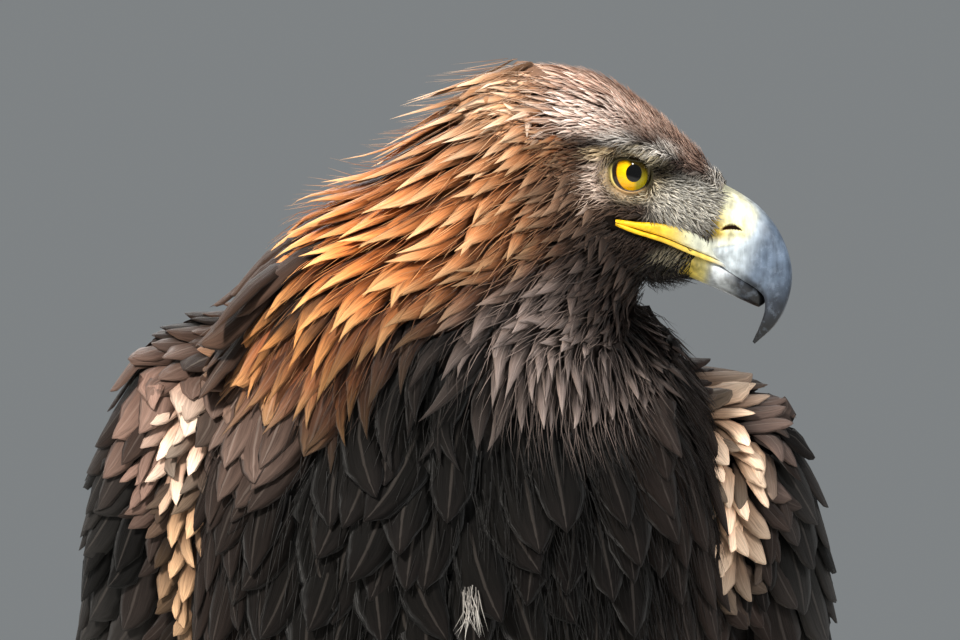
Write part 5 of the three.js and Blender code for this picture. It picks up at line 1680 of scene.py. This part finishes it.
# %% The scaly group and the materials of the feet
BLACK, WHITE = (0, 0, 0, 1), (1, 1, 1, 1)
g, given, result = new_group(
    "scaly", {"Dark": (COLOUR, BLACK), "Light": (COLOUR, WHITE)}, {"Colour": COLOUR, "Height": FLOAT}
)
place = g.add("TexCoord", out=3)
clouds = g.add("TexNoise", place, named={"Scale": 160.0, "Detail": 4.0})
cells = g.add("TexVoronoi", place, named={"Scale": 900.0})
g.tree.links.new(g.blend(g.step(clouds, 0.35, 0.7), given["Dark"], given["Light"]), result["Colour"])
g.tree.links.new(g.maths("ADD", cells, clouds), result["Height"])


def scaly_material(name, roughness, dark, light):
    made, nodes, shader = new_material(name, roughness, 0.4)
    dress(nodes, shader, "scaly", 0.4, Dark=opaque(dark), Light=opaque(light))
    return made


FOOT_SKIN = scaly_material("foot_skin", 0.6, tint(150, 96, 16), tint(186, 132, 26))
FOOT_SCALES = scaly_material("foot_scales", 0.42, tint(214, 154, 22), tint(240, 192, 52))


# %% Geometry Nodes tree for small scales
SCALE_GAP = 0.0021  # metres between scales
SCALE_SEED = 3
LEAST, MOST = 2, 3  # sockets of a Random Value node that makes single numbers


def scale_tree():
    tree = bpy.data.node_groups.new("small_scales", "GeometryNodeTree")
    tree.interface.new_socket("Geometry", in_out="INPUT", socket_type="NodeSocketGeometry")
    sizes = {"Gap": SCALE_GAP, "Size": 0.0014, "Flatness": 0.28}
    for socket, value in sizes.items():
        made = tree.interface.new_socket(socket, in_out="INPUT", socket_type="NodeSocketFloat")
        made.default_value = value
    seed = tree.interface.new_socket("Seed", in_out="INPUT", socket_type="NodeSocketInt")
    seed.default_value = SCALE_SEED
    tree.interface.new_socket("Geometry", in_out="OUTPUT", socket_type="NodeSocketGeometry")
    kinds = {
        "entry": "NodeGroupInput",
        "spread": "GeometryNodeDistributePointsOnFaces",
        "scale": "GeometryNodeMeshIcoSphere",
        "flat": "ShaderNodeCombineXYZ",
        "flatten": "GeometryNodeTransform",
        "vary": "FunctionNodeRandomValue",
        "place": "GeometryNodeInstanceOnPoints",
        "real": "GeometryNodeRealizeInstances",
        "smooth": "GeometryNodeSetShadeSmooth",
        "paint": "GeometryNodeSetMaterial",
        "leave": "NodeGroupOutput",
    }
    make = {key: tree.nodes.new(kind) for key, kind in kinds.items()}
    make["spread"].distribute_method = "POISSON"
    make["spread"].inputs["Density Max"].default_value = 1e6
    make["scale"].inputs["Subdivisions"].default_value = 1
    make["vary"].inputs[LEAST].default_value = 0.8
    make["vary"].inputs[MOST].default_value = 1.15
    make["paint"].inputs["Material"].default_value = FOOT_SCALES
    wires = [("entry", "Geometry", "spread", "Mesh"), ("entry", "Gap", "spread", "Distance Min"),
             ("entry", "Seed", "spread", "Seed"), ("entry", "Size", "scale", "Radius"),
             ("entry", "Flatness", "flat", "Z"), ("flat", "Vector", "flatten", "Scale"),
             ("scale", "Mesh", "flatten", "Geometry"), ("spread", "Points", "place", "Points"),
             ("flatten", "Geometry", "place", "Instance"), ("spread", "Rotation", "place", "Rotation"),
             ("place", "Instances", "real", "Geometry"), ("real", "Geometry", "smooth", "Geometry"),
             ("smooth", "Geometry", "paint", "Geometry"), ("paint", "Geometry", "leave", "Geometry")]
    for start, out, end, into in wires:
        tree.links.new(make[start].outputs[out], make[end].inputs[into])
    tree.links.new(make["vary"].outputs[1], make["place"].inputs["Scale"])
    make["flat"].inputs["X"].default_value = 1
    make["flat"].inputs["Y"].default_value = 1
    return tree


def scales_on(piece, name, tree, **values):
    """Runs the tree on a piece and gives what it makes as a plain mesh."""
    modifier = piece.modifiers.new("scales", "NODES")
    modifier.node_group = tree
    for socket in tree.interface.items_tree:
        if socket.in_out == "INPUT" and socket.name in values:
            modifier[socket.identifier] = values[socket.name]
    depsgraph = bpy.context.evaluated_depsgraph_get()
    mesh = bpy.data.meshes.new_from_object(piece.evaluated_get(depsgraph))
    piece.modifiers.remove(modifier)
    mesh.name = name
    made = bpy.data.objects.new(name, mesh)
    bpy.context.scene.collection.objects.link(made)
    return made


# %% Broad scales
PLATE_ROWS, PLATE_RING = 10, 12  # corners across a plate, and round it from root to edge and back below


def broad_scales(name, side):
    """Overlapping plates across the top of each toe."""
    half = PLATE_RING // 2
    rim, turn = np.meshgrid(np.linspace(0, 1, PLATE_ROWS), np.arange(PLATE_RING), indexing="ij")
    along_plate = np.concatenate([np.linspace(0, 1, half), np.linspace(1, 0, half)])[turn]
    upper = (turn < half).astype(float)
    bulge = np.sin(np.pi * np.clip(rim, 0.06, 0.94)) ** 0.4
    plates = []
    for toe in TOES.values():
        for t in np.arange(0.5, 0.97, 0.085):
            reach = mix(0.16, 0.26, abs(t - 0.7))
            angle = np.pi * mix(reach, 1 - reach, rim)
            lift = upper * (0.35 + 0.75 * along_plate) * bulge - 0.4
            at = t + 0.095 * along_plate * (5 / 6 + rim * (1 - rim) * 0.7)
            plates.append(toe_ring(side, toe, at, angle, lift).reshape(-1, 3))
    starts = np.arange(len(plates))[:, None, None] * PLATE_ROWS * PLATE_RING
    squares = (grid_faces(PLATE_ROWS, PLATE_RING)[None] + starts).reshape(-1, 4)
    circle = np.arange(PLATE_RING)
    caps = np.array([circle[::-1], circle + (PLATE_ROWS - 1) * PLATE_RING])
    ends = (caps[None] + starts).reshape(-1, PLATE_RING)
    return closed_piece(name, np.concatenate(plates), [squares, ends])


# %% Claws
def claw_piece(name, side, toe):
    turn, length, radius, claw = toe
    around = np.linspace(0, 2 * np.pi, 20, endpoint=False)
    t, angle = np.meshgrid(np.linspace(0, 1, 36), around, indexing="ij")
    bend = mix(CLAW_RISE, CLAW_FALL, t)
    way = toe_way(side, turn)
    across = np.cross(way, UP)
    ahead = length - 3.5 + claw * (math.sin(CLAW_RISE) - np.sin(bend))
    high = claw_height(claw) + claw * (np.cos(bend) - math.cos(CLAW_RISE))
    thick = radius * 0.54 * (1 - t) ** 0.75 + 0.3
    off = thick * np.sin(angle) * np.where(np.sin(angle) < 0, 0.85, 1.05)
    middle = FOOT * [side, 1, 1] + way * (ahead - off * np.sin(bend))[..., None]
    middle = middle + UP * (high + off * np.cos(bend))[..., None]
    points = middle + across * (0.82 * thick * np.cos(angle))[..., None]
    colour = mix(tint(38, 34, 32), tint(14, 13, 14), ease(t, 0.0, 0.5)[..., None])
    return closed_piece(name, points, closed_faces(*t.shape), coat_of(colour))


# %% Both feet
small_scales = scale_tree()
for name, side in SIDES.items():
    foot = melted(f"foot_skin_{name}", foot_tubes(side), voxel=0.0011, smoothing=3)
    flat_on_floor(foot)
    scales = scales_on(foot, f"foot_scales_{name}", small_scales, Gap=SCALE_GAP, Seed=SCALE_SEED)
    flat_on_floor(scales)
    settle(foot, FOOT_SKIN, "foot", f"foot_{name}")
    settle(scales, FOOT_SCALES, "foot")
    settle(broad_scales(f"toe_plates_{name}", side), FOOT_SCALES, "foot")
    for toe_name, toe in TOES.items():
        settle(claw_piece(f"claw_{toe_name}_{name}", side, toe), HORN, "claw", f"talon_{toe_name}_{name}")

# %% [markdown]
# ## Light, floor and camera
# A soft lamp from the upper left models the feathers, a wider and weaker one fills the shadows, a small
# one puts the bright spot in the eye, one behind lights the rim, and a pale sky lights the rest. The
# camera stands level, far off with a long lens, as for a bird portrait.


# %% Floor and lamps
FLOOR_SIZE = 3.0  # metres from its middle to each edge
corner_signs = np.array([[-1, -1, 0], [1, -1, 0], [1, 1, 0], [-1, 1, 0]])
floor = make_piece("floor", corner_signs * FLOOR_SIZE / MM - SHIFT, [[[0, 1, 2, 3]]], smooth=False)
floor_material, nodes, shader = new_material("pale_floor", 0.8)
shader.inputs["Base Color"].default_value = (0.62, 0.62, 0.6, 1)
floor.data.materials.append(floor_material)

world = bpy.data.worlds.new("studio")
world.use_nodes = True
sky = world.node_tree.nodes["Background"]
sky.inputs["Color"].default_value = (0.62, 0.66, 0.68, 1)
sky.inputs["Strength"].default_value = 0.34
bpy.context.scene.world = world


def lamp(name, place, target, size, power, colour=(1, 1, 1)):
    data = bpy.data.lights.new(name, "AREA")
    data.shape = "DISK"
    data.size = size
    data.energy = power
    data.color = colour
    made = bpy.data.objects.new(name, data)
    bpy.context.scene.collection.objects.link(made)
    made.location = place
    way = np.array(target, float) - np.array(place, float)
    heading = math.atan2(way[1], way[0])
    dip = math.atan2(-way[2], math.hypot(way[0], way[1]))
    made.rotation_euler = (math.pi / 2 - dip, 0, heading - math.pi / 2)
    return made


BIRD = (0, 0, 0.5)
lamp("key_lamp", (-1.5, -1.7, 2.0), BIRD, size=0.5, power=120, colour=(1, 0.95, 0.88))
fill = lamp("fill_lamp", (1.8, -1.3, 1.2), (0.05, 0, 0.62), size=1.4, power=19)
fill.visible_glossy = False
lamp("catchlight", (1.3, -1.05, 1.75), BIRD, size=0.3, power=18)
lamp("rim_lamp", (-0.6, 1.8, 1.7), BIRD, size=0.9, power=40, colour=(1, 0.98, 0.95))

# %% Camera
CAMERA_AWAY = 4000
VIEW_WIDTH = 345.6  # what the picture spans at the bird
SENSOR = 36
FOCUS = np.array([8.3, -60.0, 568.2])  # what the middle of the picture shows
camera_data = bpy.data.cameras.new("camera")
camera_data.sensor_width = SENSOR
camera_data.lens = SENSOR * CAMERA_AWAY / VIEW_WIDTH
camera_data.clip_end = 50
camera = bpy.data.objects.new("camera", camera_data)
bpy.context.scene.collection.objects.link(camera)
camera.location = (FOCUS - np.array([0, CAMERA_AWAY, 0]) + SHIFT) * MM
camera.rotation_euler = (math.pi / 2, 0, 0)
bpy.context.scene.camera = camera
# The Standard view shows colours as tint() gives them, where the default one would make the golds paler
bpy.context.scene.view_settings.view_transform = "Standard"
